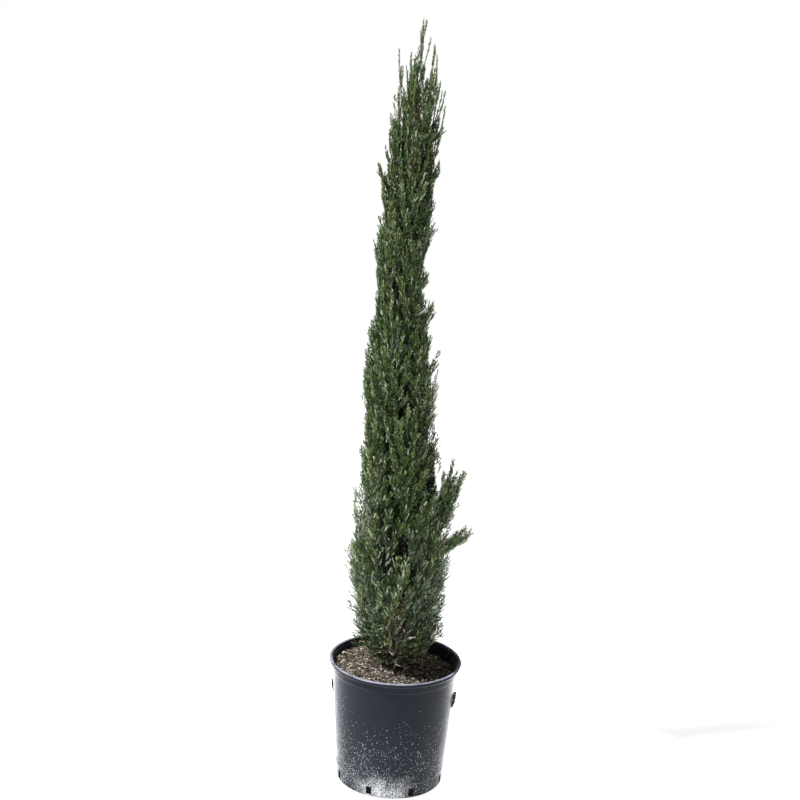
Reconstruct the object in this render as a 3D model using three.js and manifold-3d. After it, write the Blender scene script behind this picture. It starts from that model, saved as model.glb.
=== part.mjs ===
// Italian cypress in its nursery pot: millimetres, +Z up, the ground at Z = 0, the pot's axis on X = Y = 0.
// The front, as first seen, looks along +Y, and +X is to its right.
import * as THREE from "three";
import { mergeVertices } from "three/addons/utils/BufferGeometryUtils.js";
import Module from "manifold-3d";

const wasm = await Module();
wasm.setup();

// Driving sizes
const clearance = 0.3; // between a part and what it stands on or grows from
const merging = 0.02; // corners nearer than this become one when solids are joined
const sleeveShare = 1.05; // of the clearance, round the trunk, which makes up for the sleeve's flat faces

const pot = {
  height: 369,
  rimRadius: 200, // outside of the rolled lip
  lipHeight: 13,
  wallTopRadius: 190, // just under the lip
  stepDrop: 34, // the wall steps in this far under the rim
  step: 1.5,
  rounding: 3, // of the lip's edges and the step at the foot
  footTopRadius: 165,
  footHeight: 45,
  baseRadius: 162,
  wall: 3,
  floor: 4,
  segments: 48,
};
const drain = { count: 8, width: 17, depth: 20, bottom: 5, top: 30, firstAngle: -111 }; // notches at the foot
const lug = { bottom: 238, top: 280, reach: 7, width: 24, sunk: 2, angles: [-10, 170], fullest: 0.35 };
const soil = {
  edge: 333,
  top: 345, // level within the collar, under the trunk
  collar: 34,
  rises: [[0.86, 3], [0.66, 7], [0.44, 10]], // share of the edge's radius, height above the edge
  waviness: 4,
  waves: [19, 23, 11],
  segments: 24,
};

const trunk = {
  tip: 2026,
  footRadius: 17,
  tipRadius: 2.4,
  flare: 10, // the root flare adds this at the cut
  flareHeight: 55,
  lobes: 5,
  lobeDepth: 0.16,
  tipLean: -24, // how far the tip stands to the left of the foot
  bow: -33,
  depthBow: 9,
  sides: 10,
  flareSteps: [0, 8, 20, 38, 60],
  shaftSteps: 14,
};

const crown = {
  tip: 2210,
  lowest: 372, // the height of the lowest tip
  shoulder: 2140, // the leader stands alone above this
  lobe: 0.07, // how far the front and back swell and draw in
  lobeRise: 95,
};

// Each mass of foliage has a space of its own, where the points are nearer its centre than any other's.
const mass = {
  count: 27,
  lowest: 446,
  highest: 2052,
  firstAzimuth: 2.3,
  centreOut: 0.5, // the centre's share of the way out to the crown's side
  squash: 0.3, // a distance up counts this much beside one across, so the spaces are tall
  margin: 0.6, // between a mass and the side of its space
  openFrom: 1985, // the masses centred above this are open, with a slighter, lower core
  openWidth: 0.55,
  openHeight: 0.7,
  axisOut: 0.52, // the core's axis, and the sprays' roots, this share of the way out
  coreWide: 0.7,
  coreFlat: 0.52,
  coreSides: 6,
  coreShares: [0.02, 0.18, 0.5, 0.8, 0.98],
  coreWidths: [0.7, 0.94, 1, 0.84, 0.3],
  soilGap: 9,
};

const bough = {
  top: 1270, // the masses centred above this grow from the trunk itself
  drop: 26, // from the mass's centre down to the bough's foot
  bendRise: 14,
  bendOut: 0.2,
  tipRise: 62,
  tipOut: 0.36,
  lowRadius: 5.6,
  highRadius: 3.8,
  taper: [1.2, 1, 0.86, 0.74],
  sides: 5,
};

const stem = {
  trunkDrop: 40, // a stem leaves the trunk no higher than this below its tip
  topDrop: 14,
  topOut: 0.55,
  swing: 0.05,
  radius: 2.6,
  taper: [1, 0.9, 0.6, 0.3],
};

// The leading shoot, alone on the trunk's line above its tip
const leader = {
  radius: 12,
  footRadius: 2.6,
  tipRadius: 0.8,
  steps: 4,
  sprays: 9,
  lastRoot: 0.65,
  rise: 52,
  out: 11,
  width: 10,
};

const spray = {
  area: 2700, // of the crown's side for each spray, in square millimetres
  openArea: 1300, // from mass.openFrom up
  rise: { low: 150, top: 120 }, // from root to tip
  least: 24, // the least rise of a spray near the bottom of its mass
  lowestRoot: 0.1, // share of its mass's height
  width: { low: 36, top: 13 },
  narrower: [1, 0.7, 0.45], // tried in turn where a spray wouldn't keep to its mass's space
  spread: [0.85, 1.15], // the least and greatest share of these sizes
  bend: 0.07, // of the length, that its widest part stands out from the straight line
  flat: 0.42,
  widest: 0.66, // share of the length from the root
  margin: 2, // between a spray and the side of its mass's space
  shortest: 0.95, // the tips' least and greatest share of the crown's reach
  furthest: 1.07,
  leastReach: 30, // the crown counts as at least this wide when sprays are dealt out over it
  limbGap: 3,
  limbSteps: 6, // points along a limb or spray where their gap is looked at
};

// The crown's sides seen from the front: height, left side, right side
const outline = [
  [356, -64, 66],
  [440, -120, 118],
  [520, -150, 146],
  [690, -164, 146],
  [790, -152, 146],
  [945, -134, 158],
  [985, -138, 90],
  [1150, -136, 74],
  [1285, -142, 76],
  [1345, -136, 48],
  [1560, -122, 22],
  [1640, -122, 40],
  [1800, -122, 43],
  [2000, -92, 46],
  [2100, -78, 26],
  [2200, -34, -10],
];

// Single shoots that stand out past the crown's sides, and how far round their tips may be to fit a mass
const shootWidth = 29;
const shootTurns = [0, -0.15, 0.15, -0.3, 0.3, -0.45, 0.45];
const longShoots = [
  { across: 198, height: 766, rise: 90 },
  { across: 192, height: 754, rise: 80 },
  { across: 178, height: 770, rise: 90 },
  { across: 172, height: 938, rise: 170 },
  { across: 160, height: 925, rise: 170 },
  { across: -152, height: 866, rise: 130 },
  { across: -170, height: 694, rise: 110 },
  { across: 76, height: 1284, rise: 110 },
  { across: 52, height: 1424, rise: 100 },
  { across: -126, height: 1590, rise: 110 },
  { across: 48, height: 1906, rise: 110 },
  { across: -84, height: 2128, rise: 120 },
];

const goldenAngle = Math.PI * (3 - Math.sqrt(5));
const up = new THREE.Vector3(0, 0, 1);
const { lerp, clamp, degToRad } = THREE.MathUtils;

// A repeatable value from 0 to 1 for an item and a use
const hash = { item: 12.9898, use: 78.233, spread: 43758.5453 };
function chance(item, use) {
  const value = Math.sin(item * hash.item + use * hash.use) * hash.spread;
  return value - Math.floor(value);
}

// Shape of the whole tree
function trunkAt(height) {
  const rise = clamp((height - soil.top) / (trunk.tip - soil.top), 0, 1);
  const across = trunk.tipLean * rise + trunk.bow * Math.sin(Math.PI * rise ** 1.5);
  return new THREE.Vector3(across, trunk.depthBow * Math.sin(Math.PI * rise), height);
}

function trunkRadius(height) {
  const rise = clamp((height - soil.top) / (trunk.tip - soil.top), 0, 1);
  const flare = Math.max(0, 1 - (height - soil.top) / trunk.flareHeight);
  return lerp(trunk.footRadius, trunk.tipRadius, rise) + trunk.flare * flare ** 2;
}

function sidesAt(height) {
  const above = outline.findIndex((row) => row[0] > height);
  const upper = above < 0 ? outline.length - 1 : Math.max(above, 1);
  const [low, high] = [outline[upper - 1], outline[upper]];
  const share = clamp((height - low[0]) / (high[0] - low[0]), 0, 1);
  return [lerp(low[1], high[1], share), lerp(low[2], high[2], share)];
}

// How far the crown reaches from the trunk's line towards an azimuth, at a height
function reachAt(azimuth, height) {
  const [left, right] = sidesAt(height);
  const middle = trunkAt(height).x;
  const toRight = (1 + Math.cos(azimuth)) / 2;
  const plain = lerp(middle - left, right - middle, toRight);
  const swell = Math.sin(3 * azimuth + height / crown.lobeRise) * Math.sin(azimuth) ** 2;
  return plain * (1 + crown.lobe * swell);
}

function towards(azimuth) {
  return new THREE.Vector3(Math.cos(azimuth), Math.sin(azimuth), 0);
}

function crownPoint(azimuth, height, distance) {
  return trunkAt(height).addScaledVector(towards(azimuth), distance);
}

// Solids
function solidOf(positions, corners) {
  return new wasm.Manifold(
    new wasm.Mesh({
      numProp: 3,
      vertProperties: new Float32Array(positions),
      triVerts: new Uint32Array(corners),
    }),
  );
}

function solidOfGeometry(geometry) {
  const plain = new THREE.BufferGeometry().setAttribute("position", geometry.getAttribute("position"));
  plain.setIndex(geometry.getIndex());
  const merged = mergeVertices(plain, 1e-3);
  return solidOf(merged.getAttribute("position").array, merged.getIndex().array);
}

function geometryOf(solid) {
  const mesh = solid.getMesh();
  const indexed = new THREE.BufferGeometry();
  indexed.setAttribute("position", new THREE.BufferAttribute(new Float32Array(mesh.vertProperties), 3));
  indexed.setIndex(new THREE.BufferAttribute(new Uint32Array(mesh.triVerts), 1));
  const faceted = indexed.toNonIndexed();
  faceted.computeVertexNormals();
  return faceted;
}

// One body: the largest of the joined solids, without loose scraps and with sealed hollows filled
function joined(solids) {
  const bodies = wasm.Manifold.union(solids).setTolerance(merging).decompose();
  return bodies.reduce((best, body) => (body.volume() > best.volume() ? body : best));
}

// A solid turned about the pot's axis from its [radius, height] profile
function turned(profile, segments) {
  const points = profile.map(([radius, height]) => new THREE.Vector2(radius, height));
  return new THREE.LatheGeometry(points, segments).rotateX(Math.PI / 2);
}

// A closed tapering limb through points, of the given radii and number of sides; a radius of 0 is a point.
// Its ends are cut square to the directions in ends, where these are given.
function limb(points, radii, sides, { flat = 1, facing = null, swell = null, ends = [] } = {}) {
  const vertices = [];
  const last = points.length - 1;
  const rings = points.map((point, index) => {
    if (radii[index] === 0) return [vertices.push(point) - 1];
    const ahead = points[Math.min(index + 1, last)];
    const behind = points[Math.max(index - 1, 0)];
    const end = index === 0 ? ends[0] : index === last ? ends[1] : null;
    const along = end ?? ahead.clone().sub(behind).normalize();
    const reference = facing ?? (Math.abs(along.x) < 0.9 ? towards(0) : towards(Math.PI / 2));
    const wide = new THREE.Vector3().crossVectors(along, reference).normalize();
    const thin = new THREE.Vector3().crossVectors(along, wide);
    return Array.from({ length: sides }, (_, side) => {
      const angle = (2 * Math.PI * side) / sides;
      const radius = radii[index] * (swell ? swell(index, angle) : 1);
      const vertex = point
        .clone()
        .addScaledVector(wide, radius * Math.cos(angle))
        .addScaledVector(thin, radius * flat * Math.sin(angle));
      return vertices.push(vertex) - 1;
    });
  });
  const faces = [];
  for (let index = 1; index < rings.length; index++) {
    const [low, high] = [rings[index - 1], rings[index]];
    for (let side = 0; side < sides; side++) {
      const next = (side + 1) % sides;
      if (high.length > 1) faces.push([low[side % low.length], high[next], high[side]]);
      if (low.length > 1) faces.push([low[side], low[next], high[next % high.length]]);
    }
  }
  const [first, final] = [rings[0], rings[last]];
  for (let side = 1; side < sides - 1; side++) {
    if (first.length > 1) faces.push([first[0], first[side + 1], first[side]]);
    if (final.length > 1) faces.push([final[0], final[side], final[side + 1]]);
  }
  return solidOf(
    vertices.flatMap((vertex) => vertex.toArray()),
    faces.flat(),
  );
}

// Pot
function potWallRadius(height) {
  const rise = (height - pot.footHeight) / (pot.height - pot.lipHeight - pot.footHeight);
  return lerp(pot.footTopRadius, pot.wallTopRadius, rise);
}

function potSolid() {
  const lipBottom = pot.height - pot.lipHeight;
  const stepHeight = pot.height - pot.stepDrop;
  const rimInside = pot.wallTopRadius - pot.wall;
  const profile = [
    [0, 0],
    [pot.baseRadius, 0],
    [pot.footTopRadius - pot.step, pot.footHeight - pot.rounding],
    [pot.footTopRadius, pot.footHeight],
    [potWallRadius(stepHeight) - pot.step, stepHeight],
    [potWallRadius(stepHeight), stepHeight + pot.rounding],
    [pot.wallTopRadius, lipBottom],
    [pot.rimRadius - pot.rounding, lipBottom],
    [pot.rimRadius, lipBottom + pot.lipHeight / 2],
    [pot.rimRadius - pot.rounding, pot.height - pot.rounding / 2],
    [rimInside + pot.rounding, pot.height],
    [rimInside, pot.height - pot.rounding],
    [potWallRadius(stepHeight) - pot.step - pot.wall, stepHeight],
    [pot.footTopRadius - pot.wall, pot.footHeight],
    [pot.baseRadius - pot.wall, pot.floor],
    [0, pot.floor],
  ];
  let body = solidOfGeometry(turned(profile, pot.segments));
  const height = drain.top - drain.bottom;
  for (let index = 0; index < drain.count; index++) {
    const angle = degToRad(drain.firstAngle + (360 / drain.count) * index);
    const cutter = new THREE.BoxGeometry(drain.depth, drain.width, height)
      .translate(pot.baseRadius, 0, drain.bottom + height / 2)
      .rotateZ(angle);
    body = body.subtract(solidOfGeometry(cutter));
  }
  for (const angle of lug.angles) body = body.add(lugSolid(degToRad(angle)));
  return body;
}

// A half-moon rib that stands out of the wall, flat on top and rounded below
function lugSolid(angle) {
  const wallTop = potWallRadius(lug.top);
  const wallBottom = potWallRadius(lug.bottom);
  const reach = wallTop + lug.reach;
  const shape = new THREE.Shape()
    .moveTo(wallTop - lug.sunk, lug.top)
    .lineTo(wallBottom - lug.sunk, lug.bottom)
    .lineTo(wallBottom + 1, lug.bottom)
    .quadraticCurveTo(reach, lerp(lug.bottom, lug.top, lug.fullest), reach, lug.top);
  return solidOfGeometry(
    new THREE.ExtrudeGeometry(shape, { depth: lug.width, bevelEnabled: false, curveSegments: 4 })
      .translate(0, 0, -lug.width / 2)
      .rotateX(Math.PI / 2)
      .rotateZ(angle),
  );
}

// Potting soil: fills the pot to below its rim, level under the trunk and uneven beyond
function soilSolid() {
  const gap = pot.wall + clearance;
  const edgeRadius = potWallRadius(soil.edge) - pot.step - gap;
  const profile = [
    [0, pot.floor + clearance],
    [pot.baseRadius - gap, pot.floor + clearance],
    [pot.footTopRadius - gap, pot.footHeight],
    [edgeRadius, soil.edge],
    ...soil.rises.map(([share, rise]) => [edgeRadius * share, soil.edge + rise]),
    [soil.collar, soil.top],
    [0, soil.top],
  ];
  const geometry = turned(profile, soil.segments);
  const position = geometry.getAttribute("position");
  for (let index = 0; index < position.count; index++) {
    const [across, deep, height] = [position.getX(index), position.getY(index), position.getZ(index)];
    if (height < soil.edge - 1 || Math.hypot(across, deep) < soil.collar + 1) continue;
    const waves = [across, deep, across + deep].map((place, wave) => Math.sin(place / soil.waves[wave] + wave));
    position.setZ(index, height + (soil.waviness / 3) * (waves[0] + waves[1] + waves[2]));
  }
  return solidOfGeometry(geometry);
}

// Trunk: one taper from its level cut on the soil to its tip, with lobes in the root flare
function trunkSolid(extra = 0) {
  const foot = soil.top + clearance;
  const heights = trunk.flareSteps.map((step) => foot + step);
  const shaftFoot = heights[heights.length - 1];
  for (let step = 1; step <= trunk.shaftSteps; step++) {
    heights.push(lerp(shaftFoot, trunk.tip + extra, step / trunk.shaftSteps));
  }
  const swell = (index, angle) => {
    const flare = Math.max(0, 1 - (heights[index] - foot) / trunk.flareHeight);
    return 1 + trunk.lobeDepth * flare * Math.cos(trunk.lobes * angle);
  };
  const radii = heights.map((height) => trunkRadius(height) + extra);
  return limb(heights.map(trunkAt), radii, trunk.sides, { swell, ends: [up, up] });
}

// Masses of foliage: where each one is centred
function massCentres() {
  return Array.from({ length: mass.count }, (_, index) => {
    const height = lerp(mass.lowest, mass.highest, index / (mass.count - 1));
    const azimuth = mass.firstAzimuth + index * goldenAngle;
    const reach = reachAt(azimuth, height);
    const centre = crownPoint(azimuth, height, reach * mass.centreOut);
    return { index, height, azimuth, reach, centre, outward: towards(azimuth), sprays: [] };
  });
}

// The planes round a mass's space: a point is inside where normal . point < offset for each of them
function spaceOf(one, all) {
  const squash = mass.squash ** 2;
  const weight = (point) => point.x ** 2 + point.y ** 2 + squash * point.z ** 2;
  const planes = all
    .filter((other) => other !== one)
    .map((other) => {
      const normal = other.centre.clone().sub(one.centre);
      normal.z *= squash;
      const size = normal.length();
      return {
        normal: normal.divideScalar(size),
        offset: (weight(other.centre) - weight(one.centre)) / 2 / size,
      };
    });
  planes.push({ normal: up.clone().negate(), offset: -(soil.top + mass.soilGap) });
  planes.push({ normal: up.clone(), offset: crown.shoulder });
  return planes;
}

function isInside(planes, point, margin) {
  return planes.every(({ normal, offset }) => normal.dot(point) < offset - margin);
}

// The heights between which a space holds the upright line through a point
function heightsInside(planes, point) {
  let [low, high] = [soil.top, crown.tip];
  for (const { normal, offset } of planes) {
    if (normal.z === 0) continue;
    const height = (offset - normal.x * point.x - normal.y * point.y) / normal.z;
    if (normal.z > 0) high = Math.min(high, height);
    else low = Math.max(low, height);
  }
  return [low, high];
}

// Works out a mass's space, its bough where it has one, and the stem that runs up through it
function layOut(one, all) {
  one.planes = spaceOf(one, all);
  [one.low, one.high] = heightsInside(one.planes, one.centre);
  one.hasBough = one.height < bough.top;
  one.isOpen = one.height > mass.openFrom;
  one.coreTop = one.isOpen ? lerp(one.low, one.high, mass.openHeight) : one.high;
  const footHeight = Math.min(one.height - bough.drop, trunk.tip - stem.trunkDrop);
  const footRadius = trunkRadius(footHeight);
  const foot = crownPoint(one.azimuth, footHeight, footRadius / 2);
  const bend = crownPoint(one.azimuth, footHeight + bough.bendRise, footRadius + bough.bendOut * one.reach);
  const tip = crownPoint(one.azimuth, footHeight + bough.tipRise, bough.tipOut * one.reach);
  one.joint = tip.clone().sub(bend).normalize();
  if (one.hasBough) one.bough = [foot, bend, tip];
  const stemFoot = one.hasBough ? tip.clone().addScaledVector(one.joint, clearance) : foot;
  const stemTop = crownPoint(one.azimuth, one.coreTop - stem.topDrop, stem.topOut * one.reach);
  const stemMiddle = stemFoot.clone().lerp(stemTop, 0.5).addScaledVector(one.outward, stem.swing * one.reach);
  one.stem = new THREE.QuadraticBezierCurve3(stemFoot, stemMiddle, stemTop);
}

function boughRadius(one) {
  return lerp(bough.lowRadius, bough.highRadius, (one.height - mass.lowest) / (bough.top - mass.lowest));
}

function boughSolid(one, extra = 0) {
  const curve = new THREE.QuadraticBezierCurve3(...one.bough);
  const points = curve.getPoints(bough.taper.length - 1);
  points[points.length - 1].addScaledVector(one.joint, extra);
  const radii = bough.taper.map((share) => share * boughRadius(one) + extra);
  return limb(points, radii, bough.sides, { ends: [null, one.joint] });
}

function axisPoint(one, height) {
  return crownPoint(one.azimuth, height, mass.axisOut * reachAt(one.azimuth, height));
}

// The dense middle of a mass: a flame cut back to the mass's space and to its own side of the trunk
function coreSolid(one) {
  const wide = mass.coreWide * (one.isOpen ? mass.openWidth : 1);
  const heights = mass.coreShares.map((share) => lerp(one.low, one.coreTop, share));
  const points = heights.map((height) => axisPoint(one, height));
  const radii = heights.map((height, step) => mass.coreWidths[step] * wide * reachAt(one.azimuth, height));
  let core = limb(points, radii, mass.coreSides, { flat: mass.coreFlat, facing: one.outward });
  for (const { normal, offset } of one.planes) {
    core = core.trimByPlane(normal.clone().negate().toArray(), mass.margin - offset);
  }
  const sleeve = one.high > trunk.tip ? leader.radius : trunkRadius(one.low) + spray.limbGap;
  const trunkSide = one.outward.dot(trunkAt(one.height)) + sleeve;
  return core.trimByPlane(one.outward.toArray(), trunkSide);
}

// Sprays of needles: four-sided blades that fan out from the masses' axes, with their tips spread evenly
// over the crown's sides
function growSprays(all) {
  for (const { across, height, rise } of longShoots) {
    const fromTrunk = across - trunkAt(height).x;
    const side = fromTrunk > 0 ? 0 : Math.PI;
    shootTurns.some((turn) => {
      const tip = crownPoint(side + turn, height, Math.abs(fromTrunk) / Math.cos(turn));
      return addSpray(all, tip, rise, shootWidth);
    });
  }
  let height = crown.lowest;
  for (let item = 0; height < crown.shoulder; item++) {
    const azimuth = item * goldenAngle;
    const share = (height - crown.lowest) / (crown.tip - crown.lowest);
    const distance = reachAt(azimuth, height) * lerp(spray.shortest, spray.furthest, chance(item, 4));
    const rise = lerp(spray.rise.low, spray.rise.top, share) * lerp(...spray.spread, chance(item, 1));
    const width = lerp(spray.width.low, spray.width.top, share) * lerp(...spray.spread, chance(item, 5));
    addSpray(all, crownPoint(azimuth, height, distance), rise, width);
    const meanReach = (reachAt(0, height) + reachAt(Math.PI, height)) / 2;
    const area = height > mass.openFrom ? spray.openArea : spray.area;
    height += area / (2 * Math.PI * Math.max(meanReach, spray.leastReach));
  }
}

// Adds a spray to the mass whose space its tip is in, narrower where it has to be to keep to that, or skips it
function addSpray(all, wantedTip, rise, fullWidth) {
  const home = all.find((one) => isInside(one.planes, wantedTip, 0));
  if (!home) return false;
  const tip = wantedTip.clone();
  for (const { normal, offset } of home.planes) {
    const over = normal.dot(tip) - (offset - spray.margin - 1);
    if (over > 0) tip.addScaledVector(normal, -over);
  }
  const rootHeight = Math.max(tip.z - rise, lerp(home.low, home.high, spray.lowestRoot));
  if (tip.z - rootHeight < spray.least) return false;
  const root = axisPoint(home, rootHeight);
  const outward = tip.clone().sub(root).setZ(0).normalize();
  const bend = spray.bend * tip.distanceTo(root);
  const middle = root.clone().lerp(tip, spray.widest).addScaledVector(outward, bend);
  const wide = new THREE.Vector3().crossVectors(up, outward);
  for (const share of spray.narrower) {
    const width = share * fullWidth;
    const corners = [-1, 1].map((side) => middle.clone().addScaledVector(wide, (side * width) / 2));
    const fits = [root, tip, ...corners].every((corner) => isInside(home.planes, corner, spray.margin));
    if (!fits || touchesLimb(home, root, tip, width / 2 + spray.limbGap)) continue;
    home.sprays.push({ root, middle, tip, width, outward });
    return true;
  }
  return false;
}

// Whether a spray from root to tip comes within a gap of the trunk or the leader, or meets its mass's bough
function touchesLimb(one, root, tip, gap) {
  const line = new THREE.Line3(root, tip);
  for (let step = 0; step <= spray.limbSteps; step++) {
    const share = step / spray.limbSteps;
    const point = line.at(share, new THREE.Vector3());
    const radius = point.z > trunk.tip ? leader.radius : trunkRadius(point.z);
    if (trunkAt(point.z).distanceTo(point) < radius + gap * share) return true;
  }
  if (!one.hasBough) return false;
  const curve = new THREE.QuadraticBezierCurve3(...one.bough);
  return curve.getPoints(spray.limbSteps).some((point) => {
    const nearest = line.closestPointToPoint(point, true, new THREE.Vector3());
    return nearest.distanceTo(point) < spray.limbGap + boughRadius(one);
  });
}

function bladeSolid({ root, middle, tip, width, outward }) {
  return limb([root, middle, tip], [0, width / 2, 0], 4, { flat: spray.flat, facing: outward });
}

function massSolid(one, trunkSleeve) {
  const footRadius = one.hasBough ? bough.taper.at(-1) * boughRadius(one) : stem.radius;
  const points = one.stem.getPoints(stem.taper.length - 1);
  const radii = stem.taper.map((share) => share * footRadius);
  const ends = one.hasBough ? [one.joint] : [];
  const pieces = [limb(points, radii, 3, { ends }), coreSolid(one), ...one.sprays.map(bladeSolid)];
  const limbs = one.hasBough ? boughSolid(one, clearance) : trunkSleeve;
  return joined([wasm.Manifold.union(pieces).subtract(limbs)]);
}

// The leading shoot, with short sprays close along it
function leaderSolid() {
  const foot = trunkAt(trunk.tip + clearance);
  const line = new THREE.Line3(foot, foot.clone().setZ(crown.tip));
  const shares = Array.from({ length: leader.steps + 1 }, (_, step) => step / leader.steps);
  const points = shares.map((share) => line.at(share, new THREE.Vector3()));
  const radii = shares.map((share) => lerp(leader.footRadius, leader.tipRadius, share));
  const pieces = [limb(points, radii, 4)];
  for (let item = 0; item < leader.sprays; item++) {
    const outward = towards(item * goldenAngle);
    const root = line.at((leader.lastRoot * (item + 0.5)) / leader.sprays, new THREE.Vector3());
    const tip = root.clone().addScaledVector(up, leader.rise).addScaledVector(outward, leader.out);
    const middle = root.clone().lerp(tip, spray.widest);
    pieces.push(bladeSolid({ root, middle, tip, width: leader.width, outward }));
  }
  return joined(pieces);
}

// The parts, each as its own named mesh
const looks = {
  pot: { color: 0x343842, roughness: 0.42, metalness: 0 },
  soil: { color: 0x8a7762, roughness: 1, metalness: 0 },
  bark: { color: 0x5a4a3a, roughness: 0.95, metalness: 0 },
  foliage: { color: 0x4a5a3c, roughness: 0.85, metalness: 0 },
};
const tree = new THREE.Group();

function addNode(name, solid, look) {
  const mesh = new THREE.Mesh(geometryOf(solid), new THREE.MeshStandardMaterial(looks[look]));
  mesh.name = name;
  tree.add(mesh);
}

addNode("pot", potSolid(), "pot");
addNode("potting_soil", soilSolid(), "soil");
addNode("trunk", trunkSolid(), "bark");
addNode("leader_shoot", leaderSolid(), "foliage");

const trunkSleeve = trunkSolid(clearance * sleeveShare);
const masses = massCentres();
masses.forEach((one) => layOut(one, masses));
growSprays(masses);
for (const one of masses) {
  const number = String(one.index + 1).padStart(2, "0");
  if (one.hasBough) addNode("bough_" + number, joined([boughSolid(one).subtract(trunkSleeve)]), "bark");
  addNode("foliage_" + number, massSolid(one, trunkSleeve), "foliage");
}

export default tree;
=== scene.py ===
import math

import bpy
import numpy as np
from mathutils import Matrix, Vector, noise


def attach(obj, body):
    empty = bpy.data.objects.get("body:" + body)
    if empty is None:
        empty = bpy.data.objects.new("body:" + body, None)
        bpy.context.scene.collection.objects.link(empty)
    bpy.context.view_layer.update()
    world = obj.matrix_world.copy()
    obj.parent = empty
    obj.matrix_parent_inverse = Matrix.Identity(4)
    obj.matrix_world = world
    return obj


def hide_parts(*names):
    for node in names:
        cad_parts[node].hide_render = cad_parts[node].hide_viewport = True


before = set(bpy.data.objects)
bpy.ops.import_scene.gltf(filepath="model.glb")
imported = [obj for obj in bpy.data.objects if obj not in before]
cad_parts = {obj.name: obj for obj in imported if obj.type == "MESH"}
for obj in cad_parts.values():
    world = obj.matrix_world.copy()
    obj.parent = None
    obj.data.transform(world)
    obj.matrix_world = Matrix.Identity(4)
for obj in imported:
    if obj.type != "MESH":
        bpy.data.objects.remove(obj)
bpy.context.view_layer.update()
mm = 0.001
up = np.array([0.0, 0.0, 1.0])
goldenAngle = math.pi * (3 - math.sqrt(5))
dice = np.random.default_rng(11)


# Camera and studio

cameraView = {
    "place": (-0.0292, -3.2, 1.689),
    "tiltDown": 9.53,
    "roll": 3.17,
    "lens": 50.58,
    "sensor": 36,
}


def makeCamera(view):
    data = bpy.data.cameras.new("camera")
    data.lens = view["lens"]
    data.sensor_width = view["sensor"]
    camera = bpy.data.objects.new("camera", data)
    bpy.context.scene.collection.objects.link(camera)
    tilt = Matrix.Rotation(math.radians(90 - view["tiltDown"]), 4, "X")
    roll = Matrix.Rotation(math.radians(view["roll"]), 4, "Z")
    camera.matrix_world = Matrix.Translation(view["place"]) @ tilt @ roll
    bpy.context.scene.camera = camera


makeCamera(cameraView)


# Node helpers

def newMaterial(name, **sockets):
    material = bpy.data.materials.new(name)
    material.use_nodes = True
    shader = material.node_tree.nodes["Principled BSDF"]
    for socket, value in sockets.items():
        shader.inputs[socket.replace("_", " ")].default_value = value
    return material, shader


def feed(tree, socket, value):  # links a socket to another, or sets it to a number or a colour
    if isinstance(value, bpy.types.NodeSocket):
        tree.links.new(value, socket)
    elif value is not None:
        socket.default_value = value


def addNode(tree, kind, **values):
    node = tree.nodes.new(kind)
    for key, value in values.items():
        if key in node.inputs:
            feed(tree, node.inputs[key], value)
        else:
            setattr(node, key, value)
    return node


def mathNode(tree, operation, first, second=0.5, third=None):  # fed by sockets or numbers
    node = addNode(tree, "ShaderNodeMath", operation=operation)
    for socket, value in zip(node.inputs, [first, second, third]):
        feed(tree, socket, value)
    return node.outputs[0]


def ramp(tree, value, low, high, first=0.0, last=1.0):  # a value run from low to high, as first to last
    node = addNode(tree, "ShaderNodeMapRange", interpolation_type="SMOOTHSTEP")
    for socket, number in zip(node.inputs, [value, low, high, first, last]):
        feed(tree, socket, number)
    return node.outputs[0]


def mixColors(tree, share, first, second):
    node = addNode(tree, "ShaderNodeMix", data_type="RGBA")
    for index, value in ((0, share), (6, first), (7, second)):
        feed(tree, node.inputs[index], value)
    return node.outputs[2]


def objectPlace(tree):  # coordinates that stay with the piece, in metres
    return tree.nodes.new("ShaderNodeTexCoord").outputs["Object"]


def newGroup(name, sockets, outputs):
    group = bpy.data.node_groups.new(name, "ShaderNodeTree")
    for label, kind, value in sockets:
        socket = group.interface.new_socket(label, in_out="INPUT", socket_type=kind)
        socket.default_value = value
    for label, kind in outputs:
        group.interface.new_socket(label, in_out="OUTPUT", socket_type=kind)
    return group, group.nodes.new("NodeGroupInput"), group.nodes.new("NodeGroupOutput")


def makeMottle():  # lets a colour wander between darker and lighter patches
    group, given, result = newGroup(
        "mottle",
        [("Color", "NodeSocketColor", (0.5, 0.5, 0.5, 1)), ("Scale", "NodeSocketFloat", 50.0),
         ("Amount", "NodeSocketFloat", 0.3)],
        [("Color", "NodeSocketColor"), ("Patches", "NodeSocketFloat")],
    )
    pattern = addNode(group, "ShaderNodeTexNoise", Vector=objectPlace(group), Scale=given.outputs["Scale"],
                      Detail=3.0, Roughness=0.6)
    patches = ramp(group, pattern.outputs["Fac"], 0.3, 0.7, -1.0, 1.0)
    level = mathNode(group, "MULTIPLY_ADD", patches, given.outputs["Amount"], 1.0)
    scaled = addNode(group, "ShaderNodeVectorMath", operation="SCALE", Scale=level)
    group.links.new(given.outputs["Color"], scaled.inputs[0])
    group.links.new(scaled.outputs[0], result.inputs["Color"])
    group.links.new(patches, result.inputs["Patches"])
    return group


mottleGroup = makeMottle()


def addMottle(material, color, scale, amount):
    tree = material.node_tree
    values = {"Color": (*color, 1), "Scale": scale, "Amount": amount}
    node = addNode(tree, "ShaderNodeGroup", node_tree=mottleGroup, **values)
    tree.links.new(node.outputs["Color"], tree.nodes["Principled BSDF"].inputs["Base Color"])
    return node


def addBump(material, height, strength, distance):
    tree = material.node_tree
    bump = addNode(tree, "ShaderNodeBump", Strength=strength, Distance=distance, Height=height)
    tree.links.new(bump.outputs["Normal"], tree.nodes["Principled BSDF"].inputs["Normal"])


# Mesh helpers

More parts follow.
